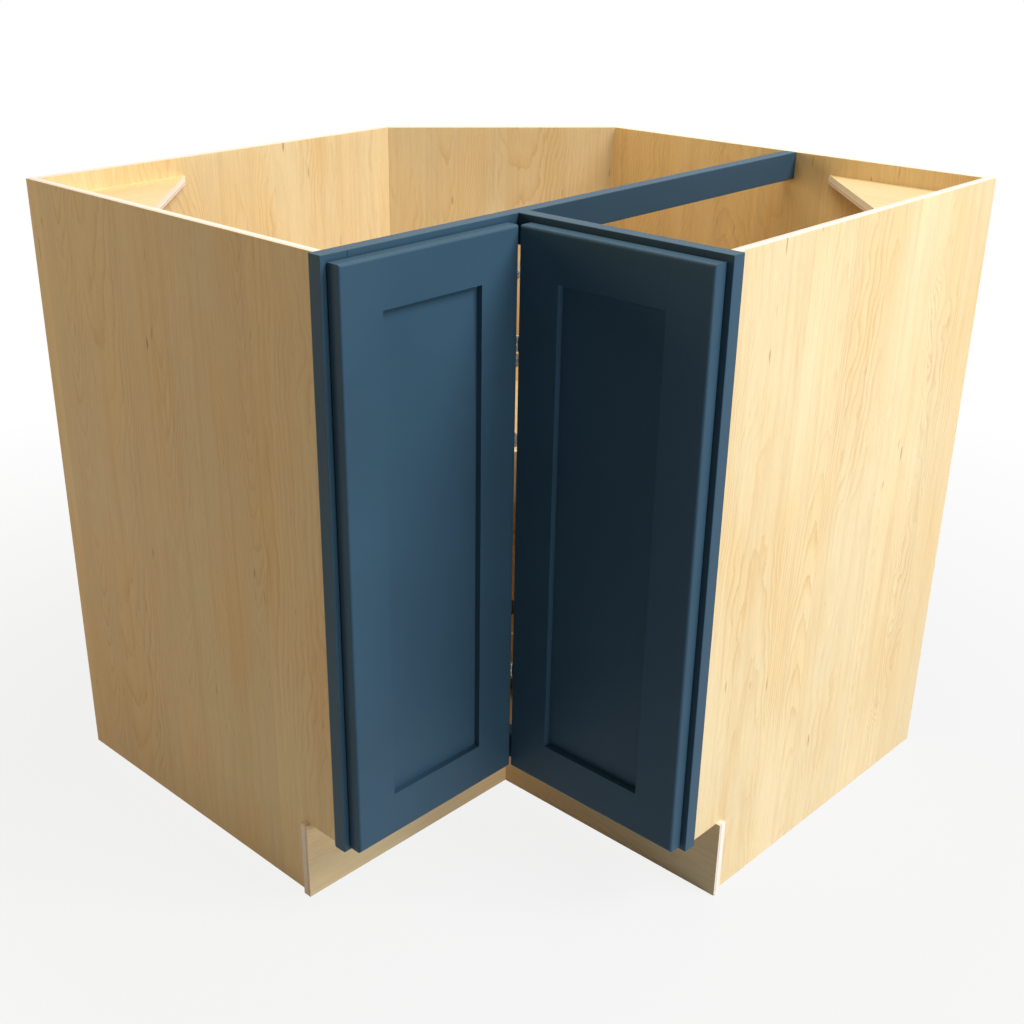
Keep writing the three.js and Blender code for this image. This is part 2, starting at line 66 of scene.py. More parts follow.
MM = 0.001
X, Y, Z = np.eye(3)
DIAGONAL = np.array([-1.0, 1.0, 0.0]) / math.sqrt(2)  # level, towards the room's corner
QUARTER_TURN = math.pi / 2
EDGE_STEPS = 5  # facets on a rolled edge
ROUND_STEPS = 64  # sides of a turned piece
SMALL_ROUND_STEPS = 24  # sides of a screw or pin
SMOOTH_ANGLE = math.radians(32)
NOISE_RANGE = (0.3, 0.7)  # most of a noise texture's values lie between these
LEAF_WIDTH = 0.116  # of a sheet of veneer

# Each wing's own axes: across its front, up, and out of its front.
WING_AXES = {"left": (Y, Z, X), "right": (X, Z, -Y)}
# Each wing seen from its end panel: depth from the wall, height, and the way out of the page.
END_AXES = {"left": (X, Z, -Y), "right": (-Y, Z, -X)}
LEVELS = ("lower", "upper")


# ---------------------------------------------------------------- sizes and finishes a user may change


def number(name, description, default, **more):
    return bpy.props.FloatProperty(name=name, description=description, default=default, **more)


def length(name, description, default):
    return number(name, description, default, min=0.0, unit="LENGTH", subtype="DISTANCE")


def share(name, description, default):
    return number(name, description, default, min=0.0, max=1.0, subtype="FACTOR")


def angle(name, description, degrees):
    return number(name, description, math.radians(degrees), unit="ROTATION", subtype="ANGLE")


def power(name, description, default):
    return number(name, description, default, unit="POWER")


def colour(name, description, default):
    return bpy.props.FloatVectorProperty(
        name=name, description=description, default=default, size=3, min=0.0, max=1.0, subtype="COLOR"
    )


def srgb(red, green, blue):
    """Linear light from the 0 to 255 values of a screen colour."""
    values = np.array([red, green, blue]) / 255.0
    linear = np.where(values <= 0.04045, values / 12.92, ((values + 0.055) / 1.055) ** 2.4)
    return tuple(float(v) for v in linear)


class CabinetEdges(bpy.types.PropertyGroup):
    """How far each kind of edge is rolled over."""

    door: length("Door edge", "Radius of the doors' outer front edge", 3.6 * MM)
    corner: length("Corner edge", "Radius of the doors' edges where they meet", 0.7 * MM)
    recess: length("Recess edge", "Radius round the flat panel of a door", 0.3 * MM)
    frame: length("Frame edge", "Radius of the face frame's edges", 0.9 * MM)
    joint: length("Joint line", "Radius where two painted pieces meet", 0.06 * MM)
    board: length("Board edge", "Easing on the plywood's edges", 0.4 * MM)
    metal: length("Metal edge", "Easing on plates and straps", 0.4 * MM)


class TrayShape(bpy.types.PropertyGroup):
    """The outline of a carousel tray and its bent rim."""

    notch_offset: length("Notch offset", "Tray's centre to each straight side of the notch", 122.4 * MM)
    notch_radius: length("Notch radius", "Rim's outside at the notch's inner corner", 60 * MM)
    tip_radius: length("Tip radius", "Rim's outside where the notch meets the round", 45 * MM)
    rim_thickness: length("Rim thickness", "Thickness of the bent wood", 6.35 * MM)
    rim_roll: length("Rim roll", "Radius of the rim's top edges", 2.2 * MM)


class CabinetFinish(bpy.types.PropertyGroup):
    """Colours and gloss of the cabinet's materials."""

    paint: colour("Paint", "Slate-blue paint", srgb(52, 79, 98))
    paint_roughness: share("Paint roughness", "Satin of the paint", 0.46)
    maple: colour("Maple", "Lacquered maple veneer", srgb(242, 218, 173))
    maple_line: colour("Maple line", "Late wood in the veneer", srgb(212, 167, 104))
    maple_fleck: colour("Maple fleck", "Mineral flecks in the veneer", srgb(150, 100, 48))
    ply_pale: colour("Ply, pale", "Pale plies on a cut edge", srgb(250, 243, 232))
    ply_core: colour("Ply, core", "Darker plies on a cut edge", srgb(238, 208, 198))
    maple_roughness: share("Maple roughness", "Satin of the lacquer", 0.5)
    nickel: colour("Nickel", "Plated hinges and plates", srgb(196, 194, 188))
    chrome: colour("Chrome", "Pole and collars", srgb(226, 228, 230))
    plastic: colour("Plastic", "Hubs, foot and bush", srgb(92, 94, 96))
    bumper: colour("Bumper", "Soft door bumpers", srgb(222, 222, 216))


class CabinetStudio(bpy.types.PropertyGroup):
    """The camera and the lights."""

    camera: bpy.props.FloatVectorProperty(
        name="Camera", description="Where the camera stands", default=(1.2609, -1.3660, 1.2151), size=3,
        unit="LENGTH", subtype="TRANSLATION",
    )
    heading: angle("Heading", "Way the camera looks, from +X towards +Y", 134.809)
    pitch: angle("Pitch", "Camera's angle above level", -24.778)
    lens: number("Lens", "Focal length on a 36 mm sensor", 48.725, unit="CAMERA")
    shift: bpy.props.FloatVectorProperty(
        name="Shift", description="Lens shift that frames the photograph", default=(0.0506, 0.0230), size=2
    )
    key: power("Key light", "Power of the large soft lamp high at +X", 328.0)
    low: power("Low light", "Power of the soft lamp near the floor at +X", 74.0)
    fill: power("Fill light", "Power of the soft lamp on the left end", 84.0)
    top: power("Top light", "Power of the soft lamp straight above", 9.0)
    ambient: number("Ambient", "Strength of the even light all round", 0.01, min=0.0)
    floor: colour("Floor", "Pale studio floor", (0.42, 0.42, 0.42))


def settings(kind):
    """The sizes or finishes kept on the scene."""
    return getattr(bpy.context.scene, kind)


# ---------------------------------------------------------------- shapes worked out as arrays


def place(points, axes):
    """Points given along three axes, as points in the cabinet's frame."""
    return np.asarray(points, float) @ np.array(axes)


def span(node, axis):
    """Lowest and highest reach of a CAD node along an axis."""
    low, high = (np.array(corner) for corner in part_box(node))
    ends = np.array([low, high]) @ axis
    return float(ends.min()), float(ends.max())


def extent(node, axes=(X, Y, Z)):
    """A CAD node's lowest and highest reach along each of three axes."""
    return [span(node, axis) for axis in axes]


def round_size(node):
    """The radius, the bottom and the top of an upright round CAD node."""
    (x0, x1), _, (z0, z1) = extent(node)
    return (x1 - x0) / 2, z0, z1


def joint_point(name):
    """A point on a joint's axis."""
    return np.array(next(joint["pos_m"] for joint in frame["joints"] if joint["name"] == name))


def stacked(rows):
    """Rings of points from (outline, height) rows."""
    return np.array([np.column_stack([outline, np.full(len(outline), height)]) for outline, height in rows])


def skin(rings, wrap=False):
    """Quads from ring to ring and round each ring; the end rings are capped, or joined when wrap is set.

    rings[k, i] is point i of ring k. Rings run counter-clockwise seen from the last ring's side.
    """
    count, size = rings.shape[:2]
    ring = np.arange(count if wrap else count - 1)[:, None]
    point = np.arange(size)[None, :]
    row, next_row = ring * size, (ring + 1) % count * size
    next_point = (point + 1) % size
    corners = [row + point, row + next_point, next_row + next_point, next_row + point]
    faces = np.stack(corners, axis=-1).reshape(-1, 4).tolist()
    if not wrap:
        faces.append(np.arange(size)[::-1].tolist())
        faces.append((np.arange(size) + (count - 1) * size).tolist())
    return rings.reshape(-1, 3), faces


def inset(outline, distance):
    """A counter-clockwise outline drawn in by a distance: each corner moves along its mitre."""
    ahead = np.roll(outline, -1, axis=0) - outline
    ahead /= np.linalg.norm(ahead, axis=1, keepdims=True)
    inward = np.stack([-ahead[:, 1], ahead[:, 0]], axis=1)
    before = np.roll(inward, 1, axis=0)
    mitre = (before + inward) / (1 + (before * inward).sum(axis=1, keepdims=True))
    return outline + mitre * distance


def quarter(radius, steps=EDGE_STEPS):
    """A quarter round as (inset, drop) pairs, from the side at full drop to the face at none."""
    turn = np.linspace(0, QUARTER_TURN, steps + 1)
    return radius * (1 - np.cos(turn)), radius * (1 - np.sin(turn))


def arc(centre, radius, start, end, steps):
    """Points spaced evenly round a circle about centre, from one angle to another."""
    turn = np.linspace(start, end, steps)
    return np.array(centre) + radius * np.stack([np.cos(turn), np.sin(turn)], axis=1)


def circle(radius, steps=ROUND_STEPS):
    """A counter-clockwise circle about the origin."""
    turn = np.arange(steps) * 2 * math.pi / steps
    return np.stack([radius * np.cos(turn), radius * np.sin(turn)], axis=1)


def rounded_rectangle(width, height, radius, steps=5):
    """A rectangle about the origin with quarter-circle corners, counter-clockwise."""
    corners = []
    for turn, (side_x, side_y) in enumerate([(1, 1), (-1, 1), (-1, -1), (1, -1)]):
        centre = (side_x * (width / 2 - radius), side_y * (height / 2 - radius))
        corners.append(arc(centre, radius, turn * QUARTER_TURN, (turn + 1) * QUARTER_TURN, steps + 1))
    return np.concatenate(corners)


def eased_prism(outline, low, high, ease, axes=(X, Y, Z)):
    """An outline carried from low to high along the third axis, with both rims rolled by a quarter round."""
    outline = np.asarray(outline, float)
    insets, drops = quarter(ease, 2)
    heights = np.concatenate([low + drops[::-1], high - drops])
    steps = np.concatenate([insets[::-1], insets])
    rows = [(inset(outline, step), height) for step, height in zip(steps, heights)]
    return skin(place(stacked(rows), axes))


def relief_block(spans, radii, back, axes):
    """A block whose front rolls over at each side by that side's own radius.

    The front is a grid in u and v. Near a side the face drops by that side's quarter round, and at a corner
    the deeper of the two drops holds, which mitres them. radii are for low u, high u, low v and high v.
    """
    (u0, u1), (v0, v1), (w0, w1) = spans

    def line(low, high, low_radius, high_radius):
        low_inset, low_drop = quarter(low_radius)
        high_inset, high_drop = quarter(high_radius)
        places = np.concatenate([low + low_inset, (high - high_inset)[::-1]])
        return places, np.concatenate([low_drop, high_drop[::-1]])

    u, u_drop = line(u0, u1, *radii[:2])
    v, v_drop = line(v0, v1, *radii[2:])
    grid_u, grid_v = np.meshgrid(u, v, indexing="ij")
    front = np.stack([grid_u, grid_v, w1 - np.maximum(u_drop[:, None], v_drop[None, :])], axis=-1)
    index = np.arange(len(u) * len(v)).reshape(len(u), len(v))
    quads = np.stack([index[:-1, :-1], index[1:, :-1], index[1:, 1:], index[:-1, 1:]], axis=-1).reshape(-1, 4)
    rim = np.concatenate([index[:-1, 0], index[-1, :-1], index[:0:-1, -1], index[0, :0:-1]])
    flat = front.reshape(-1, 3)
    wall = flat[rim].copy()
    wall[:, 2] = w0 + back
    middle = np.array([(u0 + u1) / 2, (v0 + v1) / 2])
    shrink = 1 - 2 * back / np.array([u1 - u0, v1 - v0])
    floor = wall.copy()
    floor[:, :2] = middle + (wall[:, :2] - middle) * shrink
    floor[:, 2] = w0
    size = len(rim)
    loops = [len(flat) + size + np.arange(size), len(flat) + np.arange(size), rim]
    faces = quads.tolist()
    for lower, upper in zip(loops[:-1], loops[1:]):
        faces += np.stack([lower, np.roll(lower, -1), np.roll(upper, -1), upper], axis=-1).tolist()
    faces.append(loops[0][::-1].tolist())
    return place(np.concatenate([flat, wall, floor]), axes), faces


def turned(profile, centre, axes=(X, Y, Z), steps=ROUND_STEPS, wrap=False):
    """A profile of (radius, height) rows turned about the third axis through centre."""
    rows = [(circle(radius, steps), height) for radius, height in profile]
    return moved(skin(place(stacked(rows), axes), wrap), centre)


def moved(shape, offset):
    """A (points, faces) shape carried by an offset."""
    points, faces = shape
    return points + np.asarray(offset, float), faces


def together(parts):
    """Several (points, faces) shapes as one."""
    points, faces, start = [], [], 0
    for part_points, part_faces in parts:
        points.append(part_points)
        faces += [[corner + start for corner in face] for face in part_faces]
        start += len(part_points)
    return np.concatenate(points), faces


def new_object(name, data):
    """An object at the origin, in the scene."""
    made = bpy.data.objects.new(name, data)
    bpy.context.scene.collection.objects.link(made)
    return made


def make_piece(name, shape, material, body, node=None, smooth=False):
    """Puts a shape into a mesh object that rides on a body and stands for the named CAD node."""
    points, faces = shape
    mesh = bpy.data.meshes.new(name)
    mesh.from_pydata(points.tolist(), [], faces)
    mesh.validate()
    if smooth:
        mesh.polygons.foreach_set("use_smooth", np.ones(len(mesh.polygons), bool))
        mesh.set_sharp_from_angle(angle=SMOOTH_ANGLE)
    mesh.materials.append(material)
    piece = new_object(name, mesh)
    if node:
        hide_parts(node)
    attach(piece, body)
    return piece


def set_attribute(piece, name, kind, values):
    """Stores one value for each vertex."""
    attribute = piece.data.attributes.new(name, kind, "POINT")
    key = "vector" if kind == "FLOAT_VECTOR" else "value"
    attribute.data.foreach_set(key, np.asarray(values, np.float32).ravel())


def lay_grain(piece, through, along, seed):
    """Tells a board's material where the veneer's grain runs.

    ply goes from 0 to 1 through the board. grain is the distance across the grain, the distance along it, and
    a number of the board's own.
    """
    points = np.empty(len(piece.data.vertices) * 3)
    piece.data.vertices.foreach_get("co", points)
    points = points.reshape(-1, 3)
    depth = points @ through
    across = points @ np.cross(through, along)
    grain = np.stack([across, points @ along, np.full(len(points), seed)], axis=1)
    set_attribute(piece, "ply", "FLOAT", (depth - depth.min()) / (depth.max() - depth.min()))
    set_attribute(piece, "grain", "FLOAT_VECTOR", grain)


# ---------------------------------------------------------------- materials


class NodeSheet:
    """A material's node tree, filled one node at a time."""

    def __init__(self, owner):
        owner.use_nodes = True
        self.tree = owner.node_tree
        self.tree.nodes.clear()

    def feed(self, socket, value):
        if isinstance(value, bpy.types.NodeSocket):
            self.tree.links.new(value, socket)
        else:
            socket.default_value = value

    def node(self, kind, sockets=None, **values):
        made = self.tree.nodes.new(kind)
        for key, value in values.items():
            setattr(made, key, value)
        for key, value in (sockets or {}).items():
            self.feed(made.inputs[key], value)
        return made

    def math(self, operation, *values):
        made = self.node("ShaderNodeMath", operation=operation)
        for socket, value in zip(made.inputs, values):
            self.feed(socket, value)
        return made.outputs[0]

    def plus(self, first, second):
        return self.math("ADD", first, second)

    def less(self, first, second):
        return self.math("SUBTRACT", first, second)

    def times(self, first, second):
        return self.math("MULTIPLY", first, second)

    def ramp(self, value, low, high, start=0.0, end=1.0):
        """Value from low to high becomes start to end, held at both ends."""
        sockets = {"Value": value, "From Min": low, "From Max": high, "To Min": start, "To Max": end}
        return self.node("ShaderNodeMapRange", sockets).outputs["Result"]

    def mix(self, factor, first, second):
        made = self.node("ShaderNodeMix", data_type="RGBA")
        self.feed(made.inputs["Factor"], factor)
        for key, value in (("A", first), ("B", second)):
            socket = next(s for s in made.inputs if s.name == key and s.type == "RGBA")
            self.feed(socket, value if isinstance(value, bpy.types.NodeSocket) else (*value, 1.0))
        return next(s for s in made.outputs if s.type == "RGBA")

    def noise(self, vector, scale=1.0, detail=2.0, roughness=0.5):
        sockets = {"Vector": vector, "Scale": scale, "Detail": detail, "Roughness": roughness}
        return self.node("ShaderNodeTexNoise", sockets).outputs["Fac"]

    def stretched(self, grain, across_scale, along_scale, detail=3.0, roughness=0.5):
        """Noise drawn out along the grain."""
        across, along, seed = grain
        place_in_noise = self.vector(self.times(across, across_scale), self.times(along, along_scale), seed)
        return self.noise(place_in_noise, 1.0, detail, roughness)

    def centred(self, value, reach):
        """A value about one half, as one about nought that reaches so far."""
        return self.times(self.less(value, 0.5), reach)

    def band(self, value, low, high, soft):
        """One between low and high, and nought outside, over a soft step."""
        return self.times(self.ramp(value, low - soft, low), self.ramp(value, high + soft, high))

    def vector(self, x, y, z):
        return self.node("ShaderNodeCombineXYZ", {"X": x, "Y": y, "Z": z}).outputs[0]

    def object_place(self):
        return self.node("ShaderNodeTexCoord").outputs["Object"]

    def finish(self, shader):
        self.node("ShaderNodeOutputMaterial", {"Surface": shader.outputs[0]})

    def surface(self, tint, roughness, height, relief, more=None):
        """A finished surface, raised by relief in metres where height is one."""
        bump = self.node("ShaderNodeBump", {"Height": height, "Distance": relief, "Strength": 1.0})
        sockets = {"Base Color": tint, "Roughness": roughness, "Normal": bump.outputs["Normal"]}
        self.finish(self.node("ShaderNodeBsdfPrincipled", {**sockets, **(more or {})}))


def material(name, build):
    """The material of this name, built once."""
    found = bpy.data.materials.get(name)
    if found is None:
        found = bpy.data.materials.new(name)
        build(NodeSheet(found))
    return found


def paint_material():
    """Sprayed satin paint: an even blue with a faint cloudiness and the fine ripple a spray gun leaves."""

    def build(sheet):
        finish = settings("cabinet_finish")
        paint, gloss = np.array(finish.paint), finish.paint_roughness
        here = sheet.object_place()
        cloud = sheet.noise(here, 5.0, 3.0)
        ripple = sheet.noise(here, 520.0, 2.0, 0.6)
        body = sheet.mix(sheet.ramp(cloud, 0.35, 0.65), paint * 0.94, paint * 1.06)
        shade = sheet.mix(sheet.ramp(ripple, *NOISE_RANGE, 0.0, 0.10), body, paint * 1.35)
        roughness = sheet.ramp(ripple, *NOISE_RANGE, gloss - 0.05, gloss + 0.06)
        sheet.surface(shade, roughness, ripple, 0.06 * MM, {"Specular IOR Level": 0.16})

    return material("slate_blue_paint", build)


def maple_material():
    """Lacquered maple plywood: veneer on the faces, and plies on a cut edge.

    How far through the board a point is tells the two apart.
    """

    def build(sheet):
        held = sheet.node("ShaderNodeAttribute", attribute_name="grain").outputs["Vector"]
        grain = sheet.node("ShaderNodeSeparateXYZ", {0: held}).outputs
        fibre = sheet.stretched(grain, 520.0, 11.0, 3.0, 0.65)
        saw = sheet.noise(sheet.object_place(), 260.0, 3.0, 0.6)
        ply = sheet.node("ShaderNodeAttribute", attribute_name="ply").outputs["Fac"]
        cut = sheet.band(ply, 0.045, 0.955, 0.01)
        tint = sheet.mix(cut, maple_veneer(sheet, grain, fibre), maple_plies(sheet, ply, saw))
        relief = sheet.plus(sheet.times(fibre, 0.6), sheet.times(saw, cut))
        gloss = settings("cabinet_finish").maple_roughness
        satin = sheet.ramp(fibre, *NOISE_RANGE, gloss - 0.05, gloss + 0.07)
        roughness = sheet.plus(satin, sheet.times(cut, 0.25))
        sheet.surface(tint, roughness, relief, 0.08 * MM, {"Specular IOR Level": 0.35})

    return material("lacquered_maple", build)


def maple_veneer(sheet, grain, fibre):
    """The colour of a veneer face.

    The veneer is laid in leaves side by side. Each leaf is a slice through a tapering trunk: a growth ring
    shows where the distance from the pith, plus a share of the way along, is a whole number of ring widths.
    That gives pointed arches up the middle of a leaf and slanting lines at its sides. Each leaf draws its own
    tone, depth, taper and ring width.
    """
    across, along, seed = grain
    finish = settings("cabinet_finish")
    maple, line = np.array(finish.maple), np.array(finish.maple_line)
    plus, less, times, ramp = sheet.plus, sheet.less, sheet.times, sheet.ramp
    # Leaves: their widths differ a little, and each has a number of its own to draw from.
    swing = sheet.math("SINE", plus(times(across, 31.0), times(seed, 5.0)))
    shifted = plus(across, plus(times(seed, 0.37), times(swing, 0.017)))
    leaf = sheet.math("DIVIDE", shifted, LEAF_WIDTH)
    leaf_number = sheet.math("FLOOR", leaf)
    draws = sheet.node("ShaderNodeTexWhiteNoise", {"Vector": sheet.vector(leaf_number, seed, 0.0)})
    tone, depth, lean = sheet.node("ShaderNodeSeparateColor", {0: draws.outputs["Color"]}).outputs
    # Distance from the pith, then from ring to ring.
    pith = times(less(lean, 0.5), 0.9)
    side = less(less(leaf, leaf_number), plus(pith, 0.5))
    wander = sheet.centred(sheet.stretched(grain, 7.0, 3.4, 3.0, 0.6), 0.07)
    side = plus(times(side, LEAF_WIDTH), wander)
    deep = ramp(depth, 0.0, 1.0, 0.006, 0.05)
    from_pith = sheet.math("SQRT", plus(times(side, side), times(deep, deep)))
    taper = times(less(tone, 0.45), 0.24)
    ripple = sheet.centred(sheet.stretched(grain, 90.0, 24.0, 3.0, 0.6), 0.005)
    reach = plus(plus(from_pith, ripple), times(along, taper))
    spacing = ramp(lean, 0.0, 1.0, 0.0032, 0.0068)
    phase = sheet.math("FRACT", plus(sheet.math("DIVIDE", reach, spacing), 60.0))
    late = times(ramp(phase, 0.3, 0.92), ramp(phase, 1.0, 0.94))
    figure = ramp(sheet.stretched(grain, 13.0, 3.5, 3.0, 0.6), 0.4, 0.64, 0.1, 1.0)
    late = times(times(late, late), figure)
    # Each coat covers the colours below it by its own share: warmth, curl, streaks, rings, fibres and pores.
    coats = [
        (ramp(sheet.stretched(grain, 11.0, 3.2), 0.42, 0.66, 0.0, 0.6), maple * (0.97, 0.86, 0.68)),
        (ramp(sheet.stretched(grain, 46.0, 13.0, 3.0, 0.6), 0.44, 0.72, 0.0, 0.24), maple * 0.82),
        (ramp(sheet.stretched(grain, 75.0, 1.8, 3.0, 0.6), 0.48, 0.74, 0.0, 0.28), line),
        (times(late, 0.58), line),
        (ramp(fibre, 0.46, 0.76, 0.0, 0.2), line * 0.92),
        (ramp(sheet.stretched(grain, 900.0, 55.0, 2.0), 0.55, 0.8, 0.0, 0.2), line * 0.85),
    ]
    tint = sheet.mix(tone, maple * 0.88, np.minimum(maple * 1.06, 0.95))
    for cover, coat in coats:
        tint = sheet.mix(cover, tint, coat)
    specks = ramp(sheet.stretched(grain, 150.0, 19.0, 1.0), 0.74, 0.82, 0.0, 0.75)
    patches = ramp(sheet.stretched(grain, 8.0, 5.0, 1.0), 0.5, 0.56)
    return sheet.mix(times(specks, patches), tint, finish.maple_fleck)


def maple_plies(sheet, ply, saw):
    """The colour of a cut edge: pale plies with a pinkish one near the outer face, and fine glue lines."""
    finish = settings("cabinet_finish")
    core = np.array(finish.ply_core)
    tint = sheet.mix(sheet.band(ply, 0.68, 0.86, 0.02), finish.ply_pale, core)
    for line in (0.09, 0.31, 0.67, 0.88):
        glue = sheet.band(ply, line - 0.012, line + 0.012, 0.02)
        tint = sheet.mix(sheet.times(glue, 0.28), tint, core * 0.6)
    return sheet.mix(sheet.ramp(saw, 0.4, 0.72, 0.0, 0.14), tint, core * 0.9)


def metal_material(name, key, roughness, brushed):
    """Plated metal: fine brushing or a nearly clean mirror, with faint smears in its gloss."""

    def build(sheet):
        tone = np.array(getattr(settings("cabinet_finish"), key))
        here = sheet.object_place()
        stretch = sheet.node("ShaderNodeMapping", {"Vector": here, "Scale": (900.0, 900.0, 30.0)}).outputs[0]
        brush = sheet.noise(stretch, 1.0, 2.0)
        smear = sheet.noise(here, 38.0, 3.0)
        tint = sheet.mix(sheet.ramp(smear, *NOISE_RANGE), tone * 0.93, tone)
        smeared = sheet.ramp(smear, *NOISE_RANGE, roughness, roughness + 0.08)
        gloss = sheet.plus(smeared, sheet.ramp(brush, *NOISE_RANGE, 0.0, brushed))
        sheet.surface(tint, gloss, brush, (0.03 if brushed else 0.006) * MM, {"Metallic": 1.0})

    return material(name, build)


def nickel_material():
    return metal_material("plated_nickel", "nickel", 0.24, 0.12)


def chrome_material():
    return metal_material("bright_chrome", "chrome", 0.08, 0.0)


def plastic_material(name="moulded_plastic", key="plastic", roughness=0.5):
    """Moulded plastic with a fine spark-eroded grain."""

    def build(sheet):
        tone = np.array(getattr(settings("cabinet_finish"), key))
        here = sheet.object_place()
        grain = sheet.noise(here, 1400.0, 2.0)
        cloud = sheet.noise(here, 24.0, 2.0)
        tint = sheet.mix(sheet.ramp(cloud, *NOISE_RANGE), tone * 0.94, np.minimum(tone * 1.05, 0.95))
        gloss = sheet.ramp(grain, *NOISE_RANGE, roughness - 0.06, roughness + 0.08)
        sheet.surface(tint, gloss, grain, 0.05 * MM)

    return material(name, build)


# ---------------------------------------------------------------- the cabinet's pieces


def board(name, shape, through, along, seed, node, body="cabinet"):
    """A plywood piece with its grain laid."""
    piece = make_piece(name, shape, maple_material(), body, node)
    lay_grain(piece, through, along, seed)


def painted(name, node, side, radii, body="cabinet"):
    """A painted member as a block with its own radius on each side of its front."""
    axes = WING_AXES[side]
    shape = relief_block(extent(node, axes), radii, settings("cabinet_edges").frame / 2, axes)
    make_piece(name, shape, paint_material(), body, node)


def plated(name, shape, body, node=None, smooth=False):
    """A nickel-plated piece."""
    return make_piece(name, shape, nickel_material(), body, node, smooth)


def plan_corners():
    """The chamfered corner in plan: its left outer and inner points, and the same mirrored for the right."""
    outer_y = span("left_back_panel", Y)[1]
    wall_x, inner_x = span("left_back_panel", X)
    inner_y = span("corner_back_panel", Y)[0]
    left = np.array([[wall_x, outer_y], [inner_x, inner_y]])
    return left, -left[:, ::-1]


class CABINET_OT_carcass(bpy.types.Operator):
    """Make the plywood carcass: ends, backs, floor, toe boards and corner gussets"""

    bl_idname = "corner_cabinet.carcass"
    bl_label = "Carcass"

    def execute(self, context):
        ease = settings("cabinet_edges").board
        for side, seed in (("left", 1.3), ("right", 4.7)):
            self.end_panel(side, ease, seed)
            self.gusset(side, ease, seed + 0.6)
            self.toe_board(side, ease, seed + 1.1)
        self.backs(ease)
        self.floor(ease)
        return {"FINISHED"}

    def end_panel(self, side, ease, seed):
        """Seen from the end: a tall board, notched at the foot, up to the back of its stile."""
        axes = END_AXES[side]
        node = f"{side}_end_panel"
        (back, _), (bottom, top), (low, high) = extent(node, axes)
        front = span(f"{side}_stile", axes[0])[0]
        notch = span(f"{side}_toe_board", axes[0])[0]
        toe = span(f"{side}_toe_board", Z)[1]
        outline = [(back, bottom), (notch, bottom), (notch, toe), (front, toe), (front, top), (back, top)]
        board(f"{node}_board", eased_prism(outline, low, high, ease, axes), axes[2], Z, seed, node)

    def gusset(self, side, ease, seed):
        """A right-angled triangle in the wing's far corner."""
        node = f"{side}_gusset"
        (x0, x1), (y0, y1), (low, high) = extent(node)
        left = side == "left"
        outline = [(x0, y0), (x1, y0), (x0, y1)] if left else [(x1, y1), (x0, y1), (x1, y0)]
        board(f"{node}_board", eased_prism(outline, low, high, ease), -Z, Y if left else X, seed, node)

    def toe_board(self, side, ease, seed):
        """A low board across the wing, with its grain lying along it."""
        axes = WING_AXES[side]
        node = f"{side}_toe_board"
        shape = relief_block(extent(node, axes), [ease] * 4, ease, axes)
        board(f"{node}_panel", shape, axes[2], axes[0], seed, node)

    def backs(self, ease):
        """Two backs against the walls, mitred to the diagonal back between them."""
        left, right = plan_corners()
        low, high = span("corner_back_panel", Z)
        end = span("left_back_panel", Y)[0]
        outline = np.array([(left[0][0], end), (left[1][0], end), left[1], left[0]])
        diagonal = np.array([left[1], right[1], right[0], left[0]])
        for which, corners, through, seed in (
            ("left", outline, X, 2.9),
            ("right", -outline[::-1, ::-1], -Y, 6.2),
            ("corner", diagonal, -DIAGONAL, 8.4),
        ):
            shape = eased_prism(corners, low, high, ease)
            board(f"{which}_back_board", shape, through, Z, seed, f"{which}_back_panel")

    def floor(self, ease):
        """The floor: a square less the front corner, with the back corner cut off along the diagonal back."""
        inner = plan_corners()[0][1]
        front = span("left_bottom_rail", X)[0]
        end = span("left_end_panel", Y)[1]
        half = np.array([inner, (inner[0], end), (front, end)])
        outline = np.concatenate([half, [(front, -front)], -half[::-1, ::-1]])
        shape = eased_prism(outline, *span("floor_panel", Z), ease)
        board("floor_board", shape, Z, X, 3.3, "floor_panel")


class CABINET_OT_face_frame(bpy.types.Operator):
    """Make the painted face frame: two stiles, the long top rail, and the other rails"""

    bl_idname = "corner_cabinet.face_frame"
    bl_label = "Face frame"

    def execute(self, context):
        edge, joint = settings("cabinet_edges").frame, settings("cabinet_edges").joint
        for side, ends in (("left", (joint, edge)), ("right", (edge, joint))):
            painted(f"{side}_stile_post", f"{side}_stile", side, [edge] * 4)
            for rail in ("top_rail", "bottom_rail"):
                painted(f"{side}_{rail}_bar", f"{side}_{rail}", side, (*ends, edge, edge))
        return {"FINISHED"}


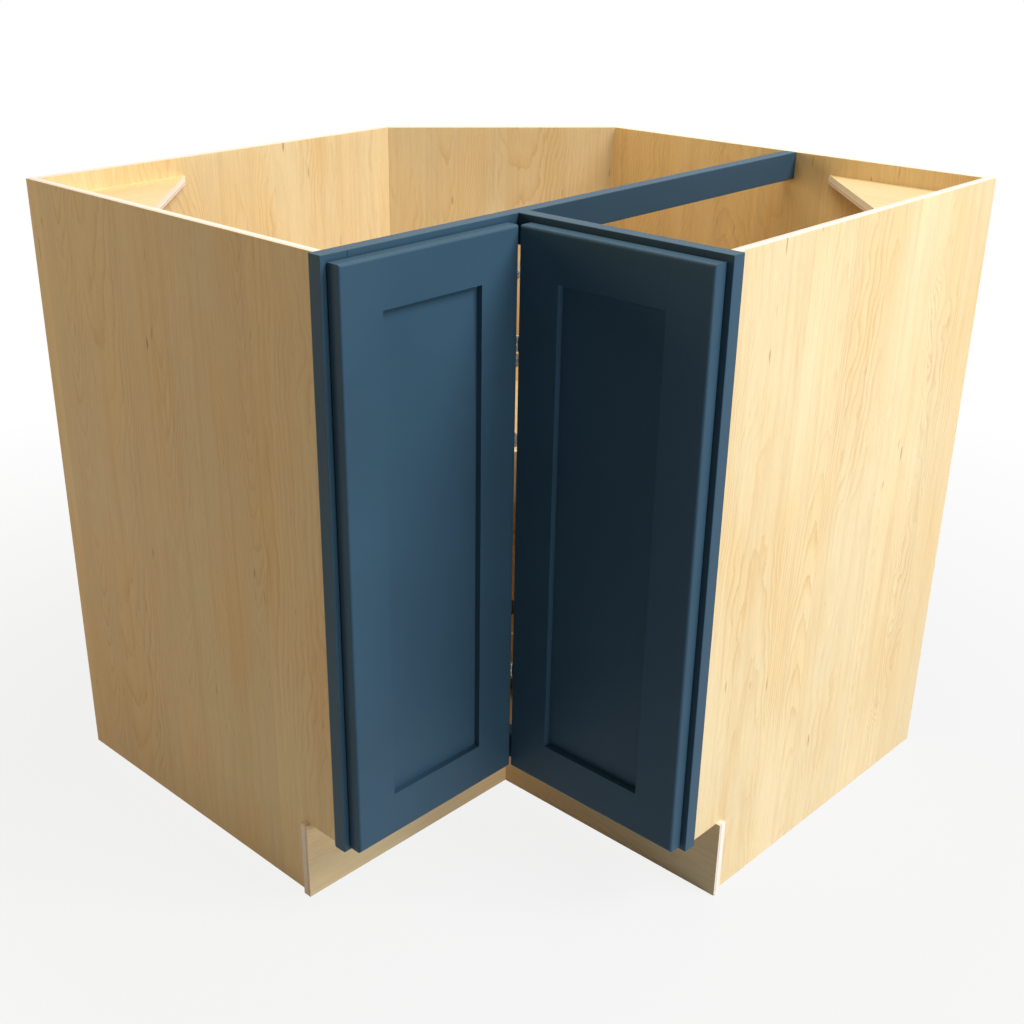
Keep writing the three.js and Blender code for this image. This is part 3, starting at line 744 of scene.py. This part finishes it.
class CABINET_OT_doors(bpy.types.Operator):
    """Make the two shaker doors, five painted pieces each, and their bumpers"""

    bl_idname = "corner_cabinet.doors"
    bl_label = "Doors"

    panel_lap = 0.4 * MM  # the flat panel's edge under the members round it

    def execute(self, context):
        for side in ("left", "right"):
            self.members(side)
            self.panel(side)
        self.bumpers()
        return {"FINISHED"}

    def members(self, side):
        """Stiles and rails: rolled outside, crisp round the panel, and with a fine line where they meet."""
        edges = settings("cabinet_edges")
        outer, recess, joint = edges.door, edges.recess, edges.joint
        name = f"{side}_door"
        radii = {
            "outer_stile": (outer, joint, outer, outer),
            "inner_stile": (joint, edges.corner, outer, outer),
            "top_rail": (joint, joint, recess, outer),
            "bottom_rail": (joint, joint, outer, recess),
        }
        for which, (low, high, below, above) in radii.items():
            sides = (low, high) if side == "left" else (high, low)
            painted(f"{name}_{which}_bar", f"{name}_{which}", side, (*sides, below, above), name)

    def panel(self, side):
        """The flat panel, a hair larger than the opening that its frame leaves."""
        axes = WING_AXES[side]
        name, lap = f"{side}_door", self.panel_lap
        low_stile, high_stile = sorted(span(f"{name}_{which}_stile", axes[0]) for which in ("outer", "inner"))
        across = (low_stile[1] - lap, high_stile[0] + lap)
        up = (span(f"{name}_bottom_rail", Z)[1] - lap, span(f"{name}_top_rail", Z)[0] + lap)
        spans = [across, up, span(f"{name}_panel", axes[2])]
        shape = relief_block(spans, [lap / 2] * 4, lap / 2, axes)
        make_piece(f"{name}_flat_panel", shape, paint_material(), name, f"{name}_panel")

    def bumpers(self):
        """Soft domed buttons on the back of the free door, where it meets the stile."""
        clear = plastic_material("soft_bumper", "bumper", 0.35)
        for level in LEVELS:
            node = f"{level}_door_bumper"
            (x0, x1), (y0, y1), (z0, z1) = extent(node)
            radius, depth = (x1 - x0) / 2, y1 - y0
            insets, drops = quarter(depth * 0.8)
            profile = [(radius, 0.0), *zip(radius - insets, depth - drops)]
            shape = turned(profile, ((x0 + x1) / 2, y0, (z0 + z1) / 2), (Z, X, Y), SMALL_ROUND_STEPS)
            make_piece(f"{level}_bumper_button", shape, clear, "right_door", node, True)


def screw_heads(name, places, out, radius, body):
    """Countersunk screws side by side in one mesh.

    The head is a low dome turned about its axis. Its recess is turned too, with a radius that swells and
    shrinks four times round, which makes a cross.
    """
    first = np.cross(Z if abs(out[2]) < 0.9 else X, out)
    first /= np.linalg.norm(first)
    ring = circle(radius, SMALL_ROUND_STEPS)
    turn = np.arange(SMALL_ROUND_STEPS) * 2 * math.pi / SMALL_ROUND_STEPS
    cross = ring * (1 + 0.42 * np.cos(4 * turn))[:, None]
    # Each ring's share of the radius, and its height as a share of the radius.
    dome = [(1.0, 0.0), (0.97, 0.12), (0.78, 0.22)]
    recess = [(0.44, 0.25), (0.36, -0.15)]
    rows = [(ring * reach, radius * height) for reach, height in dome]
    rows += [(cross * reach, radius * height) for reach, height in recess]
    rows.append((ring * 0.10, radius * -0.28))
    head = skin(place(stacked(rows), (first, np.cross(out, first), out)))
    plated(name, together([moved(head, centre) for centre in places]), body, smooth=True)


class CABINET_OT_cup_hinges(bpy.types.Operator):
    """Make the two concealed hinges between the left stile and the left door"""

    bl_idname = "corner_cabinet.cup_hinges"
    bl_label = "Concealed hinges"

    def execute(self, context):
        for level in LEVELS:
            self.plate(level)
            self.arm(level)
            self.cup(level)
            self.link(level)
        return {"FINISHED"}

    def plate(self, level):
        """A raised plate on the stile's edge, rounded in outline, with two screws."""
        node = f"{level}_hinge_plate"
        (x0, x1), (y0, y1), (z0, z1) = extent(node)
        height, ease = z1 - z0, settings("cabinet_edges").metal
        centre = np.array([(x0 + x1) / 2, 0.0, (z0 + z1) / 2])
        base_top = y0 + (y1 - y0) * 0.35
        base = eased_prism(rounded_rectangle(height, x1 - x0, 5 * MM), y0, base_top, ease, (Z, X, Y))
        saddle_outline = rounded_rectangle(height * 0.42, x1 - x0, 2 * MM)
        saddle = eased_prism(saddle_outline, base_top, y1, ease, (Z, X, Y))
        plated(f"{node}_body", moved(together([base, saddle]), centre), "cabinet", node)
        places = [centre + np.array([0.0, base_top, side * height * 0.34]) for side in (-1, 1)]
        screw_heads(f"{node}_screws", places, Y, 3.6 * MM, "cabinet")

    def arm(self, level):
        """The arm on its plate, with a step at the neck and a nose that reaches for the cup."""
        node = f"{level}_hinge_arm"
        (x0, x1), (y0, y1), (z0, z1) = extent(node)
        plate_top = span(f"{level}_hinge_plate", Y)[1]
        front = span("left_stile", X)[1]
        neck = span(f"{level}_hinge_plate", X)[1] + 0.2 * MM
        nose_y = span("left_stile", Y)[1] + 1.0 * MM
        outline = [
            (x0, plate_top), (neck, plate_top), (neck, nose_y), (front + 1.2 * MM, nose_y), (x1, y0),
            (x1, y0 + 2.5 * MM), (front + 0.5 * MM, nose_y + 2.6 * MM), (front + 0.5 * MM, y1 - 2 * MM),
            (front - 3 * MM, y1), (x0 + 3 * MM, y1), (x0, y1 - 3 * MM),
        ]
        shape = eased_prism(outline, z0, z1, settings("cabinet_edges").metal)
        plated(f"{node}_body", shape, "cabinet", node)
        places = [(x0 + reach, y1, (z0 + z1) / 2) for reach in (9 * MM, 27 * MM)]
        screw_heads(f"{node}_screws", places, Y, 3.2 * MM, "cabinet")

    def cup(self, level):
        """A pressed cup in the door's back, with a rolled lip and two screwed wings."""
        node = f"{level}_hinge_cup"
        (x0, x1), (y0, y1), (z0, z1) = extent(node)
        radius, depth, wall, lip, roll = (y1 - y0) / 2, x1 - x0, 1.5 * MM, 0.5 * MM, 0.8 * MM
        bore, bed = radius - wall, wall - depth
        centre = np.array([x0, (y0 + y1) / 2, (z0 + z1) / 2])
        profile = [
            (2 * MM, -depth), (radius - 2 * MM, -depth), (radius - 0.6 * MM, -depth + 0.6 * MM),
            (radius, -depth + 2 * MM), (radius, -lip), (radius + roll, -lip * 0.2),
            (radius + roll, lip * 0.6), (radius - wall * 0.6, lip * 0.9), (bore, 0.0),
            (bore, bed + 1.2 * MM), (bore - 1.2 * MM, bed), (2 * MM, bed),
        ]
        axes = (Z, Y, -X)
        plated(f"{node}_shell", turned(profile, centre, axes), "left_door", node, True)
        wing_height, wing_depth = 14 * MM, 0.8 * MM
        outline = rounded_rectangle(wing_height, 11 * MM, 4 * MM)
        wing = eased_prism(outline, -x0, -x0 + wing_depth, 0.3 * MM, axes)
        rise = radius + wing_height / 2 + 0.9 * MM
        middles = [np.array([0.0, centre[1], centre[2] + side * rise]) for side in (-1, 1)]
        wings = together([moved(wing, middle) for middle in middles])
        plated(f"{node}_wings", wings, "left_door")
        screws = [middle + (x0 - wing_depth * 0.8) * X for middle in middles]
        screw_heads(f"{node}_screws", screws, -X, 2.6 * MM, "left_door")

    def link(self, level):
        """The gooseneck from arm to cup: a straight strip of many short steps."""
        z0, z1 = span(f"{level}_hinge_arm", Z)
        low, high = z0 + 2.5 * MM, z1 - 2.5 * MM
        stile_front, stile_edge = span("left_stile", X)[1], span("left_stile", Y)[1]
        start = np.array([stile_front - 1.2 * MM, stile_edge + 2.6 * MM])
        end = np.array([span(f"{level}_hinge_cup", X)[1] - 3.2 * MM, stile_edge - 3.5 * MM])
        steps, half = 48, 0.9 * MM
        path = start + (end - start) * np.linspace(0, 1, steps)[:, None]
        ahead = (end - start) / np.linalg.norm(end - start)
        side = np.array([-ahead[1], ahead[0]]) * half
        rails = stacked([(path - side, low), (path + side, low), (path + side, high), (path - side, high)])
        piece = plated(f"{level}_hinge_link", skin(rails.transpose(1, 0, 2)[:, ::-1]), "cabinet")
        piece.parent = None
        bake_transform(piece)


class CABINET_OT_fold_hinges(bpy.types.Operator):
    """Make the two fold hinges that join the doors at the inner corner"""

    bl_idname = "corner_cabinet.fold_hinges"
    bl_label = "Fold hinges"

    head = 1.2 * MM  # height of the pin's head
    thick = 2.0 * MM  # of each leaf and its knuckles
    gap = 0.4 * MM  # between knuckles

    def execute(self, context):
        self.axis = joint_point("right_door_fold")[:2]
        for level in LEVELS:
            low, high = span(f"{level}_fold_pin", Z)
            low, high = low + self.head, high - self.head
            third = (high - low) / 3
            self.leaf(level, "left", [(low, low + third), (high - third, high)])
            self.leaf(level, "right", [(low + third + self.gap, high - third - self.gap)])
            self.pin(level)
        return {"FINISHED"}

    def knuckle(self, low, high, side):
        """A strip that leaves the leaf, turns and rolls round the pin, carried up from low to high."""
        roll, bend = 3.5 * MM, 2.5 * MM
        leaf_x = span("left_door_inner_stile", X)[0] - self.thick / 2
        door_edge = span("left_door_inner_stile", Y)[1]
        bend_centre = (leaf_x + bend, self.axis[1] + roll - bend)
        corner = arc(bend_centre, bend, math.pi, QUARTER_TURN, 5)
        rolled = arc(self.axis, roll, QUARTER_TURN, -math.pi * 1.15, 20)
        path = np.concatenate([[(leaf_x, door_edge - 0.2 * MM)], corner, rolled])
        ahead = np.gradient(path, axis=0)
        ahead /= np.linalg.norm(ahead, axis=1, keepdims=True)
        left = np.stack([-ahead[:, 1], ahead[:, 0]], 1) * self.thick / 2 * 0.98
        outline = np.concatenate([path - left, (path + left)[::-1]])
        if side == "right":
            outline = -outline[::-1, ::-1]
        return eased_prism(outline, low, high, 0.15 * MM)

    def leaf(self, level, side, knuckles):
        """A plate with rounded corners on the door's back, its knuckles, and three screws."""
        node, body, axes = f"{level}_fold_{side}_leaf", f"{side}_door", WING_AXES[side]
        (low_u, high_u), (z0, z1), _ = extent(node, axes)
        door_u, _, (back, _) = extent(f"{side}_door_inner_stile", axes)
        ends = (low_u, door_u[1]) if side == "left" else (high_u, door_u[0])
        middle_u, middle_z = sum(ends) / 2, (z0 + z1) / 2
        outline = rounded_rectangle(abs(ends[1] - ends[0]), z1 - z0, 4 * MM)
        plate = eased_prism(outline, back - self.thick, back, settings("cabinet_edges").metal, axes)
        shapes = [moved(plate, place([middle_u, middle_z, 0.0], axes))]
        shapes += [self.knuckle(low, high, side) for low, high in knuckles]
        plated(f"{node}_plate", together(shapes), body, node)
        screws = [(-5 * MM, -22 * MM), (5 * MM, 0.0), (-5 * MM, 22 * MM)]
        spots = [(middle_u + aside, middle_z + up, back - self.thick) for aside, up in screws]
        screw_heads(f"{node}_screws", [place(spot, axes) for spot in spots], -axes[2], 3.4 * MM, body)

    def pin(self, level):
        """The pin, with a domed head at each end."""
        node = f"{level}_fold_pin"
        z0, z1 = span(node, Z)
        radius, wide, head = 2.0 * MM, 3.0 * MM, self.head
        dome = [(radius * 0.4, 0.0), (wide * 0.85, head * 0.25), (wide, head * 0.7), (wide, head * 0.97),
                (radius, head)]
        profile = [(reach, z0 + rise) for reach, rise in dome]
        profile += [(reach, z1 - rise) for reach, rise in dome[::-1]]
        shape = turned(profile, (*self.axis, 0.0), steps=SMALL_ROUND_STEPS)
        plated(f"{node}_rod", shape, "left_door", node, True)


class CABINET_OT_pole(bpy.types.Operator):
    """Make the carousel's pole with its foot, collars, bush and top bracket"""

    bl_idname = "corner_cabinet.pole"
    bl_label = "Carousel pole"

    def execute(self, context):
        self.centre = joint_point("lower_tray_spin") * np.array([1, 1, 0])
        self.bore = round_size("pole_outer_tube")[0] + 0.1 * MM
        self.tubes()
        self.collars()
        self.foot()
        self.bush()
        self.bracket()
        return {"FINISHED"}

    def turn(self, name, profile, finish, slot, node):
        """A closed loop of (radius, height) rows turned about the pole's axis."""
        shape = turned(profile, self.centre, wrap=True)
        make_piece(name, shape, finish, "cabinet", node, True)

    def tubes(self):
        """Each tube's wall is a closed loop with eased rims, turned about the pole's axis."""
        wall, ease = 1.6 * MM, 0.4 * MM
        for node in ("pole_outer_tube", "pole_inner_tube"):
            outer, low, high = round_size(node)
            inner = outer - wall
            profile = [
                (inner + ease, low), (outer - ease, low), (outer, low + ease), (outer, high - ease),
                (outer - ease, high), (inner + ease, high), (inner, high - ease), (inner, low + ease),
            ]
            self.turn(f"{node}_wall", profile, chrome_material(), "chrome", node)

    def collars(self):
        """Collars with a waist, and a screw in each."""
        screws, ease = [], 1.0 * MM
        for node, finish, slot in (
            ("lower_collar", chrome_material(), "chrome"), ("upper_collar", chrome_material(), "chrome"),
            ("pole_lock_collar", plastic_material(), "grey_plastic"),
        ):
            outer, z0, z1 = round_size(node)
            waist, third = outer - ease, (z1 - z0) / 3
            profile = [
                (self.bore, z0), (waist, z0), (outer, z0 + ease), (outer, z0 + third),
                (waist, z0 + third + ease), (waist, z1 - third - ease), (outer, z1 - third),
                (outer, z1 - ease), (waist, z1), (self.bore, z1),
            ]
            self.turn(f"{node}_ring", profile, finish, slot, node)
            screws.append(self.centre + np.array([waist, 0.0, (z0 + z1) / 2]))
        screw_heads("collar_screws", screws, X, 2.2 * MM, "cabinet")

    def foot(self):
        """A round flange with a filleted boss, screwed to the floor."""
        outer, z0, z1 = round_size("pole_foot")
        boss, flange, screw_circle = 18 * MM, 4 * MM, 34 * MM
        insets, drops = quarter(4 * MM)
        profile = [(self.bore, z0), (outer, z0), (outer, z0 + flange * 0.6), (outer - 1.4 * MM, z0 + flange)]
        profile += list(zip(boss + drops, z0 + flange + insets))
        profile += [(boss, z1 - 1.2 * MM), (boss - 1.2 * MM, z1), (self.bore, z1)]
        self.turn("pole_foot_flange", profile, plastic_material(), "grey_plastic", "pole_foot")
        ring = circle(screw_circle, 4) @ np.array([[0.70711, 0.70711], [-0.70711, 0.70711]])
        places = [self.centre + np.array([x, y, z0 + flange]) for x, y in ring]
        screw_heads("pole_foot_screws", places, Z, 3.6 * MM, "cabinet")

    def bush(self):
        """A barrel through the bracket's arm, with a flange that rests on it."""
        outer, z0, z1 = round_size("pole_bush")
        flange, barrel = z1 - 3 * MM, 15 * MM
        inner = round_size("pole_inner_tube")[0] + 0.3 * MM
        profile = [
            (inner, z0), (barrel - 0.6 * MM, z0), (barrel, z0 + 0.6 * MM), (barrel, flange), (outer, flange),
            (outer, z1 - 1 * MM), (outer - 1 * MM, z1), (inner + 0.8 * MM, z1), (inner, z1 - 0.8 * MM),
        ]
        self.turn("pole_bush_ring", profile, plastic_material(), "grey_plastic", "pole_bush")

    def bracket(self):
        """A strap from the pole to the diagonal back, bent down against it with a true radius.

        The arm is a ring of points matched to its bore's, so the hole for the bush is real.
        """
        node = "pole_bracket"
        thick, half, nose, bend, bore = 4 * MM, 19 * MM, 25 * MM, 6 * MM, 15.3 * MM
        z0, z1 = span(node, Z)
        aside = np.cross(Z, DIAGONAL)
        back = np.array([*plan_corners()[0][1], 0.0])
        reach = float((back - self.centre) @ DIAGONAL)
        arm_end = reach - thick - bend
        # The arm's outline starts and ends at the bend and goes round the pole's end.
        round_end = arc((0, 0), 1.0, QUARTER_TURN, 3 * QUARTER_TURN, 25) * (nose, half)
        straight = np.linspace(0.0, arm_end, 9)[1:]
        upper = np.stack([straight[::-1], np.full(8, half)], 1)
        lower = np.stack([straight, np.full(8, -half)], 1)
        outline = np.concatenate([upper, round_end, lower])
        hole = bore * outline / np.linalg.norm(outline, axis=1, keepdims=True)
        rings = stacked([(hole, z1 - thick), (outline, z1 - thick), (outline, z1), (hole, z1)])
        arm = skin(place(rings, (DIAGONAL, aside, Z)), wrap=True)
        centre = (arm_end, z1 - thick - bend)
        inside = arc(centre, bend, QUARTER_TURN, 0.0, 7)
        outside = arc(centre, bend + thick, QUARTER_TURN, 0.0, 7)[::-1]
        strap = np.concatenate([inside, [(reach - thick, z0), (reach, z0)], outside])
        leg = eased_prism(strap, -half, half, 0.3 * MM, (DIAGONAL, Z, -aside))
        plated(f"{node}_strap", moved(together([arm, leg]), self.centre), "cabinet", node)
        screws = [(side * 10 * MM, rise * MM) for side in (-1, 1) for rise in (10, 32)]
        spots = [(reach - thick, across, z0 + rise) for across, rise in screws]
        places = [self.centre + place(spot, (DIAGONAL, aside, Z)) for spot in spots]
        screw_heads(f"{node}_screws", places, -DIAGONAL, 3.6 * MM, "cabinet")


class CABINET_OT_trays(bpy.types.Operator):
    """Make the two carousel trays: base, bent rim and hub"""

    bl_idname = "corner_cabinet.trays"
    bl_label = "Carousel trays"

    def execute(self, context):
        for level, seed in zip(LEVELS, (5.1, 7.6)):
            self.body = f"{level}_tray"
            self.centre = joint_point(f"{level}_tray_spin")[:2]
            self.base(seed)
            self.rim(seed + 0.5, f"{level}_rim_nails")
            self.hub()
        return {"FINISHED"}

    def outline(self, drawn_in):
        """A circle with a rounded notch, drawn in by a distance: each arc keeps its centre."""
        shape = settings("cabinet_tray")
        (x0, _), (_, y1), _ = extent(f"{self.body}_rim")
        radius = (self.centre[0] - x0 + y1 - self.centre[1]) / 2
        tip, offset = shape.tip_radius, shape.notch_offset
        tip_y = tip - offset
        tip_x = math.sqrt((radius - tip) ** 2 - tip_y**2)
        lean = math.atan2(tip_y, tip_x)
        corner = offset + shape.notch_radius
        round_end = 3 * QUARTER_TURN - lean
        return self.centre + np.concatenate([
            arc((corner, -corner), shape.notch_radius + drawn_in, math.pi, QUARTER_TURN, 24),
            arc((tip_x, tip_y), tip - drawn_in, -QUARTER_TURN, lean, 20),
            arc((0, 0), radius - drawn_in, lean, round_end, 160)[1:-1],
            arc((-tip_y, -tip_x), tip - drawn_in, round_end, 2 * math.pi, 20),
        ])

    def base(self, seed):
        """The plywood base, a ring from its outline in to the hub's hole."""
        node = f"{self.body}_base"
        z0, z1 = span(node, Z)
        ease = settings("cabinet_edges").board
        rim_gap, hub_hole = 0.3 * MM, 20.3 * MM
        drawn_in = settings("cabinet_tray").rim_thickness + rim_gap
        edge, inner_edge = self.outline(drawn_in), self.outline(drawn_in + ease)
        towards = edge - self.centre
        hole = self.centre + hub_hole * towards / np.linalg.norm(towards, axis=1, keepdims=True)
        under = [(hole, z0), (inner_edge, z0), (edge, z0 + ease)]
        rows = [*under, (edge, z1 - ease), (inner_edge, z1), (hole, z1)]
        board(f"{node}_board", skin(stacked(rows), wrap=True), Z, X, seed, node, self.body)

    def rim(self, seed, nails):
        """Bent wood: a section with rolled top edges carried round the tray, its grain running round too."""
        node = f"{self.body}_rim"
        z0, z1 = span(node, Z)
        shape = settings("cabinet_tray")
        thick, ease = shape.rim_thickness, settings("cabinet_edges").board
        insets, drops = quarter(shape.rim_roll)
        outside = list(zip(insets, z1 - drops))
        inside = list(zip(thick - insets[::-1], z1 - drops[::-1]))
        rows = [(ease, z0), (0.0, z0 + ease), *outside, *inside, (thick, z0 + ease), (thick - ease, z0)]
        rings = stacked([(self.outline(drawn_in), height) for drawn_in, height in rows])
        band = skin(rings, wrap=True)
        piece = make_piece(f"{node}_band", band, maple_material(), self.body, node, True)
        path = rings[1, :, :2]
        steps = np.linalg.norm(np.roll(path, -1, axis=0) - path, axis=1)
        way = np.minimum(np.cumsum(steps), np.cumsum(steps[::-1])[::-1])
        drawn, heights = np.array(rows).T
        ply = drawn / thick
        across = np.repeat(heights + drawn, len(path))
        grain = np.stack([across, np.tile(way, len(rows)), np.full(len(across), seed)], axis=1)
        set_attribute(piece, "ply", "FLOAT", np.repeat(ply, len(path)))
        set_attribute(piece, "grain", "FLOAT_VECTOR", grain)
        self.nails(nails, path, z0 + 6.3 * MM)

    def nails(self, name, path, height):
        """Small nails through the rim into the base, evenly spaced along the round."""
        ahead = path[61:-29:12] - path[59:-31:12]
        ahead /= np.linalg.norm(ahead, axis=1, keepdims=True)
        profile = [(1.1 * MM, -0.3 * MM), (1.1 * MM, 0.05 * MM), (0.7 * MM, 0.12 * MM)]
        heads = []
        for spot, (along_x, along_y) in zip(path[60:-30:12], ahead):
            axes = (np.array([along_x, along_y, 0.0]), Z, np.array([along_y, -along_x, 0.0]))
            heads.append(turned(profile, (*spot, height), axes, 10))
        plated(name, together(heads), self.body)

    def hub(self):
        """A flange under the base, a collar over it and a barrel, turned in one, and six screws."""
        node = f"{self.body}_hub"
        flange, z0, z1 = round_size(node)
        low, high = span(f"{self.body}_base", Z)
        barrel, bore, ease, screw_circle = 20 * MM, 13.0 * MM, 1.0 * MM, 34 * MM
        washer = barrel + 4 * MM
        profile = [
            (bore, z0 + ease), (bore + ease, z0), (flange - ease, z0), (flange, z0 + ease),
            (flange, low - 0.3 * MM), (flange - 0.3 * MM, low), (barrel, low), (barrel, high + 0.2 * MM),
            (washer, high + 0.2 * MM), (washer, high + 1.6 * MM), (barrel + 0.6 * MM, high + 2.6 * MM),
            (barrel - 1 * MM, z1 - 2 * MM), (barrel - 3 * MM, z1), (bore + ease, z1), (bore, z1 - ease),
        ]
        shape = turned(profile, (*self.centre, 0.0), wrap=True)
        make_piece(f"{node}_turning", shape, plastic_material(), self.body, node, True)
        places = [(*(self.centre + spot), z0) for spot in circle(screw_circle, 6)]
        screw_heads(f"{node}_screws", places, -Z, 3.2 * MM, self.body)


# ---------------------------------------------------------------- the studio


class CABINET_OT_studio(bpy.types.Operator):
    """Set up the pale floor, the even light, the four soft lamps and the camera"""

    bl_idname = "corner_cabinet.studio"
    bl_label = "Studio"

    # Where each lamp stands, how wide it is, and its tint.
    lamps = {
        "key": ((3.7, 1.5, 4.6), 2.6, (0.96, 1.0, 1.02)),
        "low": ((5.0, -0.5, 0.5), 1.0, (0.96, 1.0, 1.02)),
        "fill": ((-3.9, -3.2, 1.7), 2.2, (1.0, 0.75, 0.39)),
        "top": ((0.0, 0.0, 1.9), 0.9, (1.0, 0.9, 0.66)),
    }

    def execute(self, context):
        self.floor()
        self.world()
        for name, (stand, width, tint) in self.lamps.items():
            self.lamp(name, stand, width, tint)
        self.camera()
        context.scene.view_settings.view_transform = "Standard"
        return {"FINISHED"}

    def seen_rays(self, sheet):
        """One for rays from the camera, off gloss or through glass, and nought for other bounces."""
        rays = sheet.node("ShaderNodeLightPath").outputs
        either = sheet.math("MAXIMUM", rays["Is Camera Ray"], rays["Is Glossy Ray"])
        return sheet.math("MAXIMUM", either, rays["Is Transmission Ray"])

    def light(self, sheet, kind, strength):
        """White light of a strength, where 1 is plain white."""
        return sheet.node(kind, {"Color": (1.0, 1.0, 1.0, 1.0), "Strength": strength}).outputs[0]

    def floor(self):
        """A wide pale floor that keeps the shadow near the cabinet and fades to plain white further out."""
        half, drop = 14.0, 0.3 * MM
        corners = [(-half, -half, -drop), (half, -half, -drop), (half, half, -drop), (-half, half, -drop)]
        mesh = bpy.data.meshes.new("studio_floor")
        mesh.from_pydata(corners, [], [(0, 1, 2, 3)])
        owner = bpy.data.materials.new("studio_floor")
        sheet = NodeSheet(owner)
        far = sheet.node("ShaderNodeVectorMath", {0: sheet.object_place()}, operation="LENGTH")
        fade = sheet.ramp(far.outputs["Value"], 0.75, 1.9, 0.86, 1.0)
        plain = sheet.node("ShaderNodeBsdfDiffuse", {"Color": (*settings("cabinet_studio").floor, 1.0)})
        white = self.light(sheet, "ShaderNodeEmission", 1.0)
        sockets = {0: sheet.times(self.seen_rays(sheet), fade), 1: plain.outputs[0], 2: white}
        sheet.finish(sheet.node("ShaderNodeMixShader", sockets))
        mesh.materials.append(owner)
        new_object("studio_floor", mesh)

    def world(self):
        """Even light on the cabinet, and plain white where the camera or a gloss sees past it."""
        world = bpy.data.worlds.new("studio_world")
        bpy.context.scene.world = world
        sheet = NodeSheet(world)
        even = self.light(sheet, "ShaderNodeBackground", settings("cabinet_studio").ambient)
        white = self.light(sheet, "ShaderNodeBackground", 1.0)
        shown = sheet.node("ShaderNodeMixShader", {0: self.seen_rays(sheet), 1: even, 2: white})
        sheet.node("ShaderNodeOutputWorld", {"Surface": shown.outputs[0]})

    def lamp(self, name, stand, width, tint):
        """A soft square lamp that looks at the cabinet's middle."""
        data = bpy.data.lights.new(f"{name}_lamp", "AREA")
        data.size = width
        data.energy = getattr(settings("cabinet_studio"), name)
        data.color = tint
        lamp = new_object(f"{name}_lamp", data)
        lamp.location = stand
        aim = Vector((0.0, 0.0, 0.45)) - lamp.location
        lamp.rotation_euler = aim.to_track_quat("-Z", "Y").to_euler()

    def camera(self):
        """The photograph's own view: a place, a heading, a pitch and a shifted lens."""
        studio = settings("cabinet_studio")
        data = bpy.data.cameras.new("camera")
        data.lens = studio.lens
        data.sensor_width = 36.0
        data.sensor_fit = "HORIZONTAL"
        data.shift_x, data.shift_y = studio.shift
        camera = new_object("camera", data)
        camera.location = studio.camera
        camera.rotation_euler = (QUARTER_TURN + studio.pitch, 0.0, studio.heading - QUARTER_TURN)
        bpy.context.scene.camera = camera


STEPS = (
    CABINET_OT_studio,
    CABINET_OT_carcass,
    CABINET_OT_face_frame,
    CABINET_OT_doors,
    CABINET_OT_cup_hinges,
    CABINET_OT_fold_hinges,
    CABINET_OT_pole,
    CABINET_OT_trays,
)


class CABINET_PT_panel(bpy.types.Panel):
    """Lists the cabinet's steps in the sidebar"""

    bl_label = "Corner Carousel Cabinet"
    bl_idname = "CABINET_PT_panel"
    bl_space_type = "VIEW_3D"
    bl_region_type = "UI"
    bl_category = "Cabinet"

    def draw(self, context):
        for step in STEPS:
            self.layout.operator(step.bl_idname)


GROUPS = {
    "cabinet_edges": CabinetEdges,
    "cabinet_tray": TrayShape,
    "cabinet_finish": CabinetFinish,
    "cabinet_studio": CabinetStudio,
}


def register():
    for kind in (*GROUPS.values(), *STEPS, CABINET_PT_panel):
        bpy.utils.register_class(kind)
    for name, group in GROUPS.items():
        setattr(bpy.types.Scene, name, bpy.props.PointerProperty(type=group))


def unregister():
    for name in GROUPS:
        delattr(bpy.types.Scene, name)
    for kind in reversed((*GROUPS.values(), *STEPS, CABINET_PT_panel)):
        bpy.utils.unregister_class(kind)


def main():
    register()
    for step in STEPS:
        getattr(bpy.ops.corner_cabinet, step.bl_idname.split(".")[1])()


if __name__ == "__main__":
    main()
